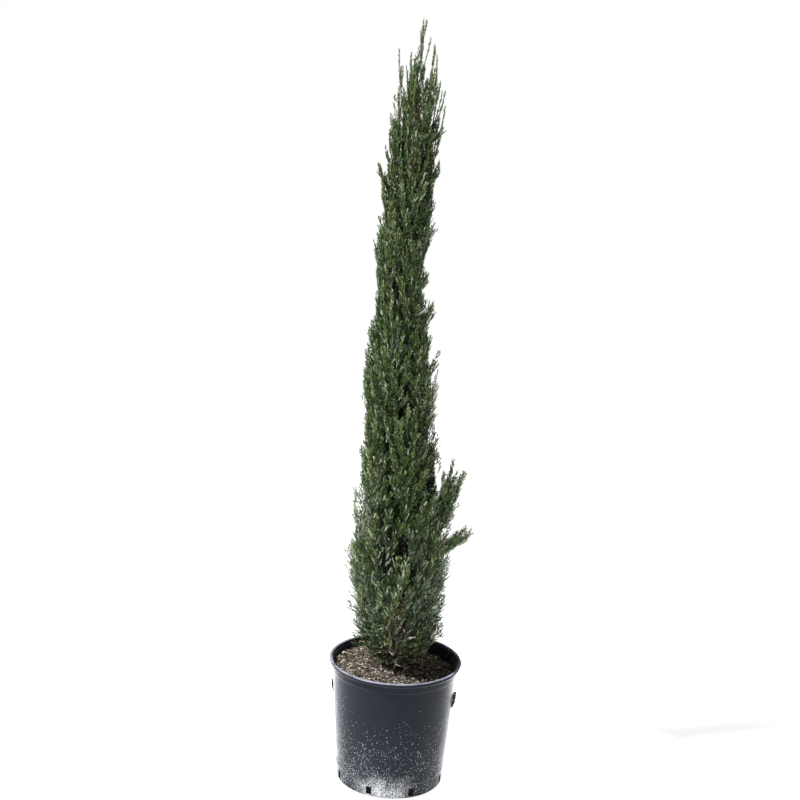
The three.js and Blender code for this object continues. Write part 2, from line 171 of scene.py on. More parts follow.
def addMesh(name, vertices, faces, material, smooth=False):  # vertices in millimetres, faces all of one size
    vertices = np.ascontiguousarray(vertices, dtype=np.float32) * mm
    faces = np.ascontiguousarray(faces, dtype=np.int32)
    count, corners = faces.shape
    mesh = bpy.data.meshes.new(name)
    mesh.vertices.add(len(vertices))
    mesh.vertices.foreach_set("co", vertices.ravel())
    mesh.loops.add(count * corners)
    mesh.loops.foreach_set("vertex_index", faces.ravel())
    mesh.polygons.add(count)
    mesh.polygons.foreach_set("loop_start", np.arange(0, count * corners, corners, dtype=np.int32))
    mesh.polygons.foreach_set("use_smooth", np.full(count, smooth))
    mesh.update(calc_edges=True)
    mesh.materials.append(material)
    piece = bpy.data.objects.new(name, mesh)
    bpy.context.scene.collection.objects.link(piece)
    return piece


def unit(vectors):
    return vectors / np.maximum(np.linalg.norm(vectors, axis=-1, keepdims=True), 1e-9)


def mix(low, high, share):
    return low + (high - low) * share


def runFrom(value, start, end):  # how far a value has come from start to end, from 0 to 1
    return np.clip((value - start) / (end - start), 0, 1)


def joinMeshes(meshes):  # one list of vertices and one of faces from several
    vertices, faces, count = [], [], 0
    for points, corners in meshes:
        vertices.append(points)
        faces.append(corners + count)
        count += len(points)
    return np.concatenate(vertices), np.concatenate(faces)


def tubes(paths, radii, sides):  # closed three-cornered faces round each path: paths are many x steps x 3
    count, steps = paths.shape[:2]
    along = unit(np.gradient(paths, axis=1))
    reference = np.where(np.abs(along[..., :1]) < 0.8, [1.0, 0, 0], [0, 1.0, 0])
    wide = unit(np.cross(along, reference))
    thin = np.cross(along, wide)
    angles = np.arange(sides) * 2 * math.pi / sides
    rings = (
        paths[:, :, None]
        + (radii[..., None] * np.cos(angles))[..., None] * wide[:, :, None]
        + (radii[..., None] * np.sin(angles))[..., None] * thin[:, :, None]
    )
    vertices = rings.reshape(-1, 3)
    first = (np.arange(count)[:, None, None] * steps + np.arange(steps - 1)[:, None]) * sides
    near = np.arange(sides)
    far = (near + 1) % sides
    low, lowFar, high, highFar = first + near, first + far, first + sides + near, first + sides + far
    walls = [np.stack([low, lowFar, highFar], axis=-1), np.stack([low, highFar, high], axis=-1)]
    faces = [wall.reshape(-1, 3) for wall in walls]
    last = np.arange(count) * steps * sides + (steps - 1) * sides
    foot = np.arange(count) * steps * sides
    for side in range(1, sides - 1):
        faces.append(np.stack([foot, foot + side + 1, foot + side], axis=-1))
        faces.append(np.stack([last, last + side, last + side + 1], axis=-1))
    return vertices, np.concatenate(faces)


def ringFaces(count, around):  # the skin over a stack of rings, whose last two vertices are the ends' middles
    near = np.arange(around)
    far = (near + 1) % around
    rows = np.arange(count - 1)[:, None] * around
    quads = np.stack([rows + near, rows + far, rows + around + far, rows + around + near], axis=-1)
    quads = quads.reshape(-1, 4)
    last = (count - 1) * around
    middle = np.full(around, count * around)
    ends = [np.stack([middle, far, near], axis=-1), np.stack([middle + 1, last + near, last + far], axis=-1)]
    return np.concatenate([quads[:, [0, 1, 2]], quads[:, [0, 2, 3]], *ends])


def repeatFaces(points, pattern):  # the same few faces on each set of points, which are many x corners x 3
    starts = np.arange(len(points))[:, None, None] * points.shape[1]
    return points.reshape(-1, 3), (starts + np.array(pattern)).reshape(-1, 3)


def turnedAxes(along, turns):  # two directions square to each of these and to each other, turned about it
    reference = np.where(np.abs(along[:, 2:]) < 0.9, [0, 0, 1.0], [1.0, 0, 0])
    side = unit(np.cross(along, reference))
    other = np.cross(along, side)
    cos, sin = np.cos(turns)[:, None], np.sin(turns)[:, None]
    return side * cos + other * sin, other * cos - side * sin


def straws(roots, middles, tips, radii, turns):  # three-sided, pointed at both ends
    along = unit(tips - roots)
    corners = [turnedAxes(along, turns + side * 2 * math.pi / 3)[0] for side in range(3)]
    points = [roots, *(middles + radii[:, None] * corner for corner in corners), tips]
    pattern = [[0, 2, 1], [0, 3, 2], [0, 1, 3], [4, 1, 2], [4, 2, 3], [4, 3, 1]]
    return repeatFaces(np.stack(points, axis=1), pattern)


def slivers(roots, tips, radii, turns):  # four faces each, from one edge at the root to another at the tip
    first, second = (axis * radii[:, None] for axis in turnedAxes(unit(tips - roots), turns))
    points = np.stack([roots - first, roots + first, tips - second, tips + second], axis=1)
    return repeatFaces(points, [[0, 2, 1], [0, 1, 3], [0, 3, 2], [1, 2, 3]])


leafShape = {"widest": 0.42, "fold": 0.5}  # where a leaf is widest, and how deep its fold is beside its width


def leaves(roots, tips, radii, turns):  # two faces each, folded along the middle
    across, fold = (axis * radii[:, None] for axis in turnedAxes(unit(tips - roots), turns))
    middle = mix(roots, tips, leafShape["widest"]) + fold * leafShape["fold"]
    points = np.stack([roots, middle + across, tips, middle - across], axis=1)
    return repeatFaces(points, [[0, 1, 2], [0, 2, 3]])


# Trunk and crown, by the source's rule

soilLevel = 345  # under the trunk
trunk = {
    "foot": 345.3,
    "tip": 2026,
    "footRadius": 17,
    "tipRadius": 2.4,
    "flare": 10,
    "flareHeight": 55,
    "lobes": 5,
    "lobeDepth": 0.16,
    "tipLean": -24,
    "bow": -33,
    "depthBow": 9,
}
crown = {"tip": 2210, "lowest": 372, "shoulder": 2140, "lobe": 0.07, "lobeRise": 95}
outline = np.array([  # the crown's sides from the front: height, left side, right side
    [356, -64, 66],
    [440, -120, 118],
    [520, -150, 146],
    [690, -164, 146],
    [790, -152, 146],
    [945, -134, 158],
    [985, -138, 90],
    [1150, -136, 74],
    [1285, -142, 76],
    [1345, -136, 48],
    [1560, -122, 22],
    [1640, -122, 40],
    [1800, -122, 43],
    [2000, -92, 46],
    [2100, -78, 26],
    [2200, -34, -10],
])
fineOutline = np.array([  # where the fine growth ends on both sides: height, left side, right side
    [356, -44, 46],
    [385, -62, 66],
    [410, -92, 92],
    [435, -108, 112],
    [463, -121, 129],
    [494, -136, 136],
    [556, -138, 140],
    [587, -146, 139],
    [620, -148, 147],
    [678, -165, 153],
    [700, -156, 157],
    [760, -149, 143],
    [801, -148, 144],
    [862, -145, 152],
    [894, -124, 160],
    [923, -129, 158],
    [953, -131, 123],
    [983, -133, 85],
    [1030, -130, 86],
    [1072, -131, 70],
    [1131, -130, 72],
    [1190, -141, 75],
    [1247, -139, 77],
    [1276, -138, 60],
    [1335, -126, 54],
    [1392, -118, 49],
    [1421, -109, 32],
    [1478, -112, 24],
    [1534, -115, 18],
    [1590, -121, 29],
    [1646, -120, 38],
    [1675, -107, 40],
    [1730, -116, 36],
    [1785, -118, 42],
    [1812, -112, 34],
    [1841, -94, 33],
    [1895, -96, 43],
    [1950, -92, 46],
    [2003, -84, 28],
    [2058, -56, 22],
    [2112, -50, 10],
    [2192, -25, -12],
])


def chance(item, use):
    value = math.sin(item * 12.9898 + use * 78.233) * 43758.5453
    return value - math.floor(value)


def trunkRise(height):
    return runFrom(height, soilLevel, trunk["tip"])


def trunkAt(height):
    rise = trunkRise(height)
    across = trunk["tipLean"] * rise + trunk["bow"] * np.sin(math.pi * rise**1.5)
    depth = trunk["depthBow"] * np.sin(math.pi * rise)
    return np.stack([across, depth, height * np.ones_like(rise)], axis=-1)


def trunkRadius(height):
    flare = np.maximum(0, 1 - (height - soilLevel) / trunk["flareHeight"])
    return mix(trunk["footRadius"], trunk["tipRadius"], trunkRise(height)) + trunk["flare"] * flare**2


def reachAt(azimuth, height, table=outline):
    left = np.interp(height, table[:, 0], table[:, 1])
    right = np.interp(height, table[:, 0], table[:, 2])
    middle = trunkAt(height)[..., 0]
    plain = mix(middle - left, right - middle, (1 + np.cos(azimuth)) / 2)
    swell = np.sin(3 * azimuth + height / crown["lobeRise"]) * np.sin(azimuth) ** 2
    return plain * (1 + crown["lobe"] * swell)


def towards(azimuth):
    return np.stack([np.cos(azimuth), np.sin(azimuth), np.zeros_like(azimuth)], axis=-1)


def crownPoint(azimuth, height, distance):
    return trunkAt(height) + towards(azimuth) * np.asarray(distance)[..., None]


# Masses: their spaces, boughs and stems

mass = {
    "count": 27,
    "lowest": 446,
    "highest": 2052,
    "firstAzimuth": 2.3,
    "centreOut": 0.5,
    "squash": 0.3,
    "openFrom": 1985,
    "openHeight": 0.7,
    "axisOut": 0.52,
    "soilGap": 9,
}
bough = {
    "top": 1270,
    "drop": 26,
    "bendRise": 14,
    "bendOut": 0.2,
    "tipRise": 62,
    "tipOut": 0.36,
    "lowRadius": 5.6,
    "highRadius": 3.8,
    "taper": (1.2, 1, 0.86, 0.74),  # of that radius, from foot to tip
}
stem = {
    "trunkDrop": 40,
    "topDrop": 14,
    "topOut": 0.55,
    "swing": 0.05,
    "radius": 2.6,
    "tipRadius": 1.2,
    "steps": 14,
}


def bezier(first, middle, last, steps):
    share = np.linspace(0, 1, steps)[:, None]
    return (1 - share) ** 2 * first + 2 * share * (1 - share) * middle + share**2 * last


def layOutMasses():
    laidOut = []
    for index in range(mass["count"]):
        height = mix(mass["lowest"], mass["highest"], index / (mass["count"] - 1))
        azimuth = mass["firstAzimuth"] + index * goldenAngle
        reach = reachAt(azimuth, height)
        centre = crownPoint(azimuth, height, reach * mass["centreOut"])
        one = {"index": index, "height": height, "azimuth": azimuth, "reach": reach, "centre": centre}
        laidOut.append({**one, "outward": towards(azimuth), "isOpen": height > mass["openFrom"]})
    weights = np.array([1, 1, mass["squash"] ** 2])
    centres = np.array([one["centre"] for one in laidOut])
    for one in laidOut:
        others = np.delete(centres, one["index"], axis=0)
        normals = (others - one["centre"]) * weights
        distances = np.linalg.norm(normals, axis=1)
        offsets = ((others**2 @ weights) - (one["centre"] ** 2 @ weights)) / 2 / distances
        one["normals"] = np.vstack([normals / distances[:, None], -up, up])
        one["offsets"] = np.append(offsets, [-(soilLevel + mass["soilGap"]), crown["shoulder"]])
        level = one["normals"][:, :2] @ one["centre"][:2]
        heights = (one["offsets"] - level) / one["normals"][:, 2]
        one["high"] = heights[one["normals"][:, 2] > 0].min()
        one["low"] = heights[one["normals"][:, 2] < 0].max()
        growLimbs(one)
    return laidOut


def growLimbs(one):  # the bough from the trunk, where there is one, and the stem on through the mass
    coreTop = mix(one["low"], one["high"], mass["openHeight"]) if one["isOpen"] else one["high"]
    footHeight = min(one["height"] - bough["drop"], trunk["tip"] - stem["trunkDrop"])
    footRadius = trunkRadius(footHeight)
    foot = crownPoint(one["azimuth"], footHeight, footRadius / 2)
    bendOut = footRadius + bough["bendOut"] * one["reach"]
    bend = crownPoint(one["azimuth"], footHeight + bough["bendRise"], bendOut)
    tip = crownPoint(one["azimuth"], footHeight + bough["tipRise"], bough["tipOut"] * one["reach"])
    one["hasBough"] = one["height"] < bough["top"]
    share = (one["height"] - mass["lowest"]) / (bough["top"] - mass["lowest"])
    one["boughRadius"] = mix(bough["lowRadius"], bough["highRadius"], share)
    one["bough"] = (foot, bend, tip)
    stemFoot = tip if one["hasBough"] else foot
    stemTop = crownPoint(one["azimuth"], coreTop - stem["topDrop"], stem["topOut"] * one["reach"])
    middle = mix(stemFoot, stemTop, 0.5) + one["outward"] * stem["swing"] * one["reach"]
    one["stem"] = bezier(stemFoot, middle, stemTop, stem["steps"])


masses = layOutMasses()
print("masses laid out", len(masses))


# Sprays: first the source's own, then finer ones between and inside them

spray = {
    "area": 2700,
    "openArea": 1300,
    "rise": (150, 150),
    "least": 24,
    "lowestRoot": 0.1,
    "width": (36, 13),
    "narrower": (1, 0.7, 0.45),
    "spread": (0.85, 1.15),
    "bend": 0.07,
    "straighter": 0.35,  # that bend's share higher up
    "widest": 0.66,
    "margin": 2,
    "leastReach": 30,
    "limbGap": 3,
    "seam": 2,
    "below": 10,  # how far under the crown's lowest point the finer ones may start
    "fullest": 0.8,
    "thinFrom": 1920,
    "thinTo": 2020,
    "thinnest": 0.12,
    "tip": 0.32,
    "longTip": 0.5,
    "overhang": 4,  # how far the leaves stand out past a spray's tip
}
longShoots = {  # across, height and rise of single shoots that stand out past the sides
    "width": 29,
    "turns": (0, -0.15, 0.15, -0.3, 0.3, -0.45, 0.45),
    "places": (
        (172, 938, 170),
        (160, 925, 170),
        (-152, 866, 130),
        (-170, 694, 110),
        (76, 1284, 110),
        (52, 1424, 100),
        (-126, 1590, 110),
        (48, 1906, 110),
    ),
}
edgeShoots = {  # more single shoots that show on the crown's sides
    "width": 17,
    "turns": (-0.3, 0.2),
    "places": (
        (158, 943, 150), (150, 926, 150), (140, 900, 150), (-143, 872, 130),
        (-170, 697, 90), (-143, 1001, 90), (-154, 546, 60), (140, 563, 60), (55, 1431, 110), (78, 1295, 110),
        (-132, 1349, 100), (-141, 1300, 90), (-143, 1227, 80), (-140, 1107, 70), (-112, 1859, 100),
        (-130, 1812, 90), (51, 1822, 110), (47, 1661, 90), (36, 1515, 90), (-122, 1661, 90), (-123, 1571, 90),
        (-136, 416, 30), (143, 463, 40), (93, 1050, 90),
    ),
}
openPlaces = np.array([  # thin places from the front: across, height, half width, half height, share kept
    (-126, 836, 18, 47, 0.3), (-132, 757, 16, 36, 0.5), (125, 522, 27, 75, 0.65), (-125, 504, 38, 80, 0.6),
    (56, 1270, 23, 33, 0.45), (88, 950, 9, 24, 0.0), (-132, 1117, 12, 66, 0.4), (-134, 1286, 16, 41, 0.4),
    (-111, 1447, 10, 43, 0.5), (-92, 1414, 15, 25, 0.25), (-116, 1650, 14, 30, 0.5),
    (-100, 1833, 13, 28, 0.45), (-77, 1828, 12, 28, 0.45), (-118, 1744, 10, 40, 0.5),
    (85, 1037, 12, 30, 0.4), (-57, 1029, 10, 16, 0.0),
    (-31, 1140, 7, 34, 0.2), (-85, 1964, 12, 32, 0.3), (27, 1956, 17, 30, 0.5), (34, 1650, 14, 20, 0.5),
    (-52, 695, 14, 35, 0.25), (66, 1210, 10, 30, 0.4), (-157, 667, 18, 60, 0.5), (12, 440, 42, 90, 0.45),
    (95, 912, 9, 26, 0.0), (103, 872, 8, 24, 0.2),
])


def sprayLayer(name, seed, area, openArea, reach, rise=1, width=1):
    return {"name": name, "seed": seed, "area": area, "openArea": openArea, "reach": reach, "rise": rise,
            "width": width}


layers = (  # the rounds of sprays: shares of the source's area, rise and width, and their reach
    sprayLayer("own", seed=0, area=1, openArea=1, reach=(0.93, 1.04)),
    sprayLayer("between", seed=1000, area=0.66, openArea=1.5, reach=(0.8, 1.0), rise=0.8),
    sprayLayer("inner", seed=2000, area=1.05, openArea=3, reach=(0.5, 0.93), width=1.4),
    sprayLayer("skirt", seed=3000, area=0.8, openArea=1, reach=(0.8, 1.1), rise=0.28, width=0.75),
)
skirtTop = 540
edgeLayer = {"name": "edge"}
fromTrunk = 0.35  # the inner sprays' roots, this share of the way from the trunk out to their tips
erect = (750, 1500)  # heights between which the foliage changes from spreading to upright


def uprightness(height):
    return runFrom(height, *erect)


def growShoots(growing, shoots, layer):  # at given places; a long one takes the first turn that fits
    for across, height, rise in shoots["places"]:
        out = across - trunkAt(height)[0]
        side = 0 if out > 0 else math.pi
        for turn in shoots["turns"]:
            distance = abs(out) / math.cos(turn) - 2 * spray["overhang"]
            fits = addSpray(growing, crownPoint(side + turn, height, distance), rise, shoots["width"], layer)
            if fits and shoots is longShoots:
                break


def growLayer(growing, layer):  # one after another round the trunk, from the foot up
    height = crown["lowest"]
    item = layer["seed"]
    top = skirtTop if layer["name"] == "skirt" else crown["shoulder"]
    while height < top:
        azimuth = item * goldenAngle
        share = (height - crown["lowest"]) / (crown["tip"] - crown["lowest"])
        reach = reachAt(azimuth, height, fineOutline) * mix(*layer["reach"], chance(item, 4))
        tip = crownPoint(azimuth, height, reach - spray["overhang"])
        rise = layer["rise"] * mix(*spray["rise"], share) * mix(*spray["spread"], chance(item, 1))
        width = layer["width"] * mix(*spray["width"], share) * mix(*spray["spread"], chance(item, 5))
        thin = np.interp(height, [spray["thinFrom"], spray["thinTo"]], [1, spray["thinnest"]])
        if chance(item, 6) < thin:
            addSpray(growing, tip, rise, width, layer)
        meanReach = (reachAt(0, height) + reachAt(math.pi, height)) / 2
        isOpen = height > mass["openFrom"]
        area = spray["openArea"] * layer["openArea"] if isOpen else spray["area"] * layer["area"]
        height += area / (2 * math.pi * max(meanReach, spray["leastReach"]))
        item += 1


def growSprays():
    growing = []
    growShoots(growing, longShoots, layers[0])
    growShoots(growing, edgeShoots, edgeLayer)
    for one in growing:
        one["tipWidth"] = spray["longTip"]
    for layer in layers:
        growLayer(growing, layer)
    return growing


def addSpray(growing, wantedTip, rise, fullWidth, layer):  # rooted on the axis of the mass that its tip is in
    inside = [np.all(one["normals"] @ wantedTip < one["offsets"]) for one in masses]
    if not any(inside):
        return False
    home = masses[inside.index(True)]
    if layer["name"] == "between" and np.any(home["normals"] @ wantedTip > home["offsets"] - spray["seam"]):
        return False
    isOwn = layer["name"] == "own"
    tip = wantedTip.copy()
    if isOwn:
        for normal, offset in zip(home["normals"], home["offsets"]):
            tip -= normal * max(0, normal @ tip - (offset - spray["margin"] - 1))
    lowest = crown["lowest"] - spray["below"]
    if isOwn:
        lowest = mix(home["low"], home["high"], spray["lowestRoot"])
    rootHeight = max(tip[2] - rise, lowest)
    if tip[2] - rootHeight < spray["least"]:
        return False
    root = crownPoint(home["azimuth"], rootHeight, mass["axisOut"] * reachAt(home["azimuth"], rootHeight))
    if layer["name"] == "inner":
        root = mix(trunkAt(rootHeight), tip * [1, 1, 0] + up * rootHeight, fromTrunk)
    outward = unit((tip - root) * [1, 1, 0])
    middle = mix(root, tip, spray["widest"]) + outward * spray["bend"] * np.linalg.norm(tip - root)
    wide = np.cross(up, outward)
    for share in spray["narrower"]:
        width = share * fullWidth
        corners = [root, tip, middle + wide * width / 2, middle - wide * width / 2]
        margin = home["offsets"] - spray["margin"]
        fits = not isOwn or all(np.all(home["normals"] @ corner < margin) for corner in corners)
        if fits and not (isOwn and nearTrunk(root, tip, width / 2 + spray["limbGap"])):
            leafWidth = fullWidth * max(share, spray["fullest"])
            growing.append({"root": root, "tip": tip, "width": leafWidth, "outward": outward, "home": home,
                           "layer": layer["name"], "tipWidth": spray["tip"],
                           "bow": spray["bend"] * mix(1, spray["straighter"], uprightness(tip[2]))})
            return True
    return False


def nearTrunk(root, tip, gap):
    share = np.linspace(0, 1, 7)[:, None]
    points = mix(root, tip, share)
    distance = np.linalg.norm(points - trunkAt(points[:, 2]), axis=1)
    return bool(np.any(distance < trunkRadius(points[:, 2]) + gap * share[:, 0]))


placed = {  # shoots that stand clear of the crown: across and height of tip and foot, and width
    "depths": (24, 46),  # how far they stand off the trunk to the front or back: low ones, top ones
    "topFrom": 1800,
    "inside": 0.8,  # the most of that, as a share of the crown's reach
    "rootDepth": 0.6,  # their feet's depth beside their tips'
    "bow": 0.02,
    "dense": 2.0,
    "shoots": (
        (-22, 2207, -18, 2020, 6),
        (-14, 2204, -19, 2160, 6),
        (-20, 2190, -18, 2130, 6),
        (-28, 2172, -20, 2110, 5),
        (0, 2156, -14, 2088, 5),
        (13, 2138, 3, 2040, 8),
        (21, 2116, 18, 2010, 4),
        (20, 2070, 16, 1960, 8),
        (34, 2045, 20, 1960, 6),
        (49, 2022, 34, 1950, 5),
        (40, 2015, 24, 1940, 5),
        (43, 1987, 20, 1910, 6),
        (50, 1976, 34, 1880, 6),
        (-84, 2122, -74, 2020, 4),
        (-77, 2078, -64, 1950, 8),
        (-71, 2076, -72, 2030, 4),
        (-80, 2030, -70, 1950, 5),
        (-82, 2011, -72, 1930, 5),
        (-90, 1999, -80, 1910, 6),
        (-94, 1964, -82, 1870, 6),
        (-99, 1954, -86, 1880, 5),
        (-58, 2064, -50, 1980, 6),
        (-50, 2112, -45, 2010, 7),
        (-46, 2072, -40, 1960, 9),
        (-40, 2060, -36, 1950, 9),
        (-34, 2052, -32, 1940, 9),
        (-27, 2040, -26, 1930, 9),
        (-12, 2084, -12, 1990, 6),
        (-3, 2050, -2, 1950, 8),
        (8, 2074, 4, 1970, 7),
        (12, 2060, 12, 1950, 7),
        (26, 2030, 18, 1930, 7),
        (-66, 2020, -58, 1920, 7),
        (-30, 2020, -30, 1920, 9),
        (-52, 2040, -46, 1930, 8),
        (-99, 1910, -90, 1830, 8),
        (44, 1918, 32, 1850, 7),
        (195, 766, 112, 702, 32),
        (180, 768, 100, 706, 30),
        (184, 748, 104, 688, 30),
        (166, 742, 96, 680, 32),
        (158, 756, 84, 700, 34),
        (150, 732, 84, 668, 30),
        (137, 972, 92, 800, 20),
        (172, 940, 116, 790, 24),
        (158, 908, 110, 770, 24),
        (-142, 868, -124, 745, 20),
        (-146, 838, -124, 730, 18),
    ),
}
fan = {  # low shoots that lean out over the soil
    "count": 30,
    "foot": (374, 425),
    "footOut": 14,
    "tip": (364, 400),
    "tipOut": (40, 98),
    "width": 26,
    "bow": -0.06,
}


def growPlaced():
    shoots = []
    for index, (tipAcross, tipHeight, footAcross, footHeight, width) in enumerate(placed["shoots"]):
        offTrunk = placed["depths"][int(tipHeight > placed["topFrom"])]
        offTrunk = min(offTrunk, placed["inside"] * reachAt(math.pi / 2, tipHeight))
        depth = trunkAt(tipHeight)[1] + offTrunk * mix(-1, 1, chance(index, 21)) * (index > 0)
        root = np.array([footAcross, depth * placed["rootDepth"], footHeight])
        tip = np.array([tipAcross, depth, tipHeight])
        side = 1.0 if tipAcross > footAcross else -1.0
        shoots.append({"root": root, "tip": tip, "width": width, "outward": np.array([side, 0, 0]),
                       "bow": placed["bow"], "layer": "placed", "tipWidth": spray["longTip"]})
    for index in range(fan["count"]):
        azimuth = index * goldenAngle
        root = crownPoint(azimuth, mix(*fan["foot"], chance(index, 22)), fan["footOut"])
        tip = crownPoint(azimuth, mix(*fan["tip"], chance(index, 23)), mix(*fan["tipOut"], chance(index, 24)))
        shoots.append({"root": root, "tip": tip, "width": fan["width"], "outward": towards(azimuth),
                       "bow": fan["bow"], "layer": "fan", "tipWidth": spray["longTip"]})
    return shoots


whip = {
    "heights": (880, 1200),  # above which there are two, and three
    "widths": (1, 0.75, 0.66),  # one, two or three of them, beside the spray's width
    "apart": 0.42,
    "rootShare": 0.25,  # the side ones may start this far along the spray
    "shorter": 0.3,
}


def splitIntoWhips(plumes):  # higher up, each spray is two or three slim whips instead of one wide plume
    whips = []
    for index, one in enumerate(plumes):
        count = 1 + int(np.searchsorted(whip["heights"], one["tip"][2]))
        wide = unit(np.cross(up, one["outward"]))
        length = np.linalg.norm(one["tip"] - one["root"])
        for number in range(count):
            side = (number - (count - 1) / 2) * 2 / max(1, count - 1)
            luck, other = chance(index * 3 + number, 11), chance(index * 3 + number, 12)
            lower = whip["shorter"] * length * luck * (number > 0)
            tip = one["tip"] + wide * side * whip["apart"] * one["width"] - up * lower
            root = mix(one["root"], one["tip"], whip["rootShare"] * other * (number > 0))
            width = one["width"] * whip["widths"][count - 1]
            whips.append({**one, "root": root, "tip": tip, "width": width})
    return whips


sprays = splitIntoWhips(growSprays()) + growPlaced()
print("sprays", len(sprays))


# Foliage: each spray carries branchlets all round it, and each branchlet carries cords of scale leaves

branchlet = {  # pairs of values: spreading, upright
    "spacing": (5.4, 6.6),
    "inner": 0.75,  # how dense they are on inner sprays, beside the others
    "first": 0.1,  # where they start along the spray
    "fewest": 7,
    "flat": 0.8,
    "footShare": 0.45,  # how long they are at the spray's foot, beside its widest place
    "bendAt": 0.45,
    "leastLength": (8, 5),
    "leave": (0.70, 0.44),  # the angle to the spray that they leave it at, in radians
    "end": (0.35, 0.12),  # and that they end at
    "lift": (0.2, 0.35),
    "radius": 1.1,
    "thickness": (0.85, 1.15),  # the spread of that radius
    "stagger": 1.7,  # the turn from the first one of a spray to the next spray's, in radians
    "spread": (0.5, 1.5),
}
cord = {
    "spacing": 2.12,
    "first": 0.05,  # where they start and end along the branchlet
    "last": 0.95,
    "length": (6.4, 6.6),
    "shorter": 0.75,  # towards the branchlet's tip
    "radius": 1.08,
    "thickness": (0.75, 1.25),
    "stagger": 2.1,
    "angle": (0.66, 0.42),
    "spread": (0.6, 1.4),
    "inner": {"spacing": 4.2, "longer": 1.45, "wider": 1.8},
}


def ofSprays(key, ids=slice(None)):  # one value of all sprays, or of the ones with these numbers
    return np.array([one[key] for one in sprays])[ids]


def dealOut(counts):  # for things in rows of these lengths, each one's row and its step within it
    ids = np.repeat(np.arange(len(counts)), counts)
    return ids, np.arange(len(ids)) - np.repeat(np.cumsum(counts) - counts, counts)


def growBranchlets():
    keys = ("root", "tip", "outward", "bow", "layer")
    roots, tips, outward, bows, layerNames = (ofSprays(key) for key in keys)
    lengths = np.linalg.norm(tips - roots, axis=1)
    dense = np.where(layerNames == "inner", branchlet["inner"], 1)
    dense = np.where(layerNames == "placed", placed["dense"], dense)
    spacing = mix(*branchlet["spacing"], uprightness(tips[:, 2]))
    counts = np.maximum(branchlet["fewest"], lengths * dense / spacing).astype(int)
    ids, step = dealOut(counts)
    share = mix(branchlet["first"], 1, (step + dice.uniform(0.1, 0.9, len(ids))) / counts[ids])
    place = sprayPoint(roots[ids], tips[ids], outward[ids], bows[ids], share)
    along = unit(sprayPoint(roots[ids], tips[ids], outward[ids], bows[ids], share + 0.02) - place)
    wide = unit(np.cross(up, outward[ids]))
    thin = np.cross(along, wide)
    keys = ("leave", "end", "lift", "leastLength")
    leave, end, lift, leastLength = (mix(*branchlet[key], uprightness(place[:, 2])) for key in keys)
    turn = step * goldenAngle + ids * branchlet["stagger"]
    radial = np.cos(turn)[:, None] * wide + (branchlet["flat"] * np.sin(turn))[:, None] * thin
    rising, falling = runFrom(share, 0, spray["widest"]), runFrom(share, spray["widest"], 1)
    profile = mix(branchlet["footShare"], 1, rising) * mix(1, ofSprays("tipWidth", ids), falling)
    length = ofSprays("width", ids) / 2 / np.sin((leave + end) / 2) * profile
    length = np.maximum(length * dice.uniform(*branchlet["spread"], len(ids)), leastLength)
    start = unit(along * np.cos(leave)[:, None] + radial * np.sin(leave)[:, None])
    finish = unit(along * np.cos(end)[:, None] + radial * np.sin(end)[:, None] + up * lift[:, None])
    bend = place + start * length[:, None] * branchlet["bendAt"]
    tip = bend + finish * length[:, None] * (1 - branchlet["bendAt"])
    branchlets = {"spray": ids, "share": share, "place": place, "bend": bend, "tip": tip, "start": start,
                  "finish": finish, "length": length}
    kept = dice.uniform(0, 1, len(ids)) < shareKept((place + tip) / 2)
    return {key: values[kept] for key, values in branchlets.items()}


def shareKept(points):
    across, height, halfWidth, halfHeight, share = openPlaces.T
    far = ((points[:, :1] - across) / halfWidth) ** 2 + ((points[:, 2:] - height) / halfHeight) ** 2
    return np.where(far < 1, share, 1).min(axis=1)


def sprayPoint(root, tip, outward, bow, share):
    share = np.asarray(share)[..., None]
    depth = np.asarray(bow)[..., None] * np.linalg.norm(tip - root, axis=-1, keepdims=True)
    return mix(root, tip, share) + outward * depth * 4.4 * share * (1 - share)


def growCords(branchlets):
    isInner = ofSprays("layer", branchlets["spray"]) == "inner"
    spacing = np.where(isInner, cord["inner"]["spacing"], cord["spacing"])
    counts = np.maximum(2, branchlets["length"] / spacing).astype(int)
    ids, step = dealOut(counts)
    share = mix(cord["first"], cord["last"], (step + 0.5) / counts[ids])[:, None]
    place, bend, tip = (branchlets[key][ids] for key in ("place", "bend", "tip"))
    start = (1 - share) ** 2 * place + 2 * share * (1 - share) * bend + share**2 * tip
    along = unit(mix(branchlets["start"][ids], branchlets["finish"][ids], share))
    radial = turnedAxes(along, step * goldenAngle + ids * cord["stagger"])[0]
    upright = uprightness(start[:, 2])
    angle = mix(*cord["angle"], upright) * dice.uniform(*cord["spread"], len(ids))
    direction = unit(along * np.cos(angle)[:, None] + radial * np.sin(angle)[:, None])
    length = mix(*cord["length"], upright) * mix(1, cord["shorter"], share[:, 0])
    length = length * dice.uniform(*cord["spread"], len(ids))
    radius = cord["radius"] * dice.uniform(*cord["thickness"], len(ids))
    longer, wider = (np.where(isInner[ids], cord["inner"][key], 1) for key in ("longer", "wider"))
    end = start + direction * (length * longer)[:, None]
    return {"owner": ids, "share": share[:, 0], "start": start, "end": end, "radius": radius * wider}


# Leaf colours, dealt out by spray and branchlet

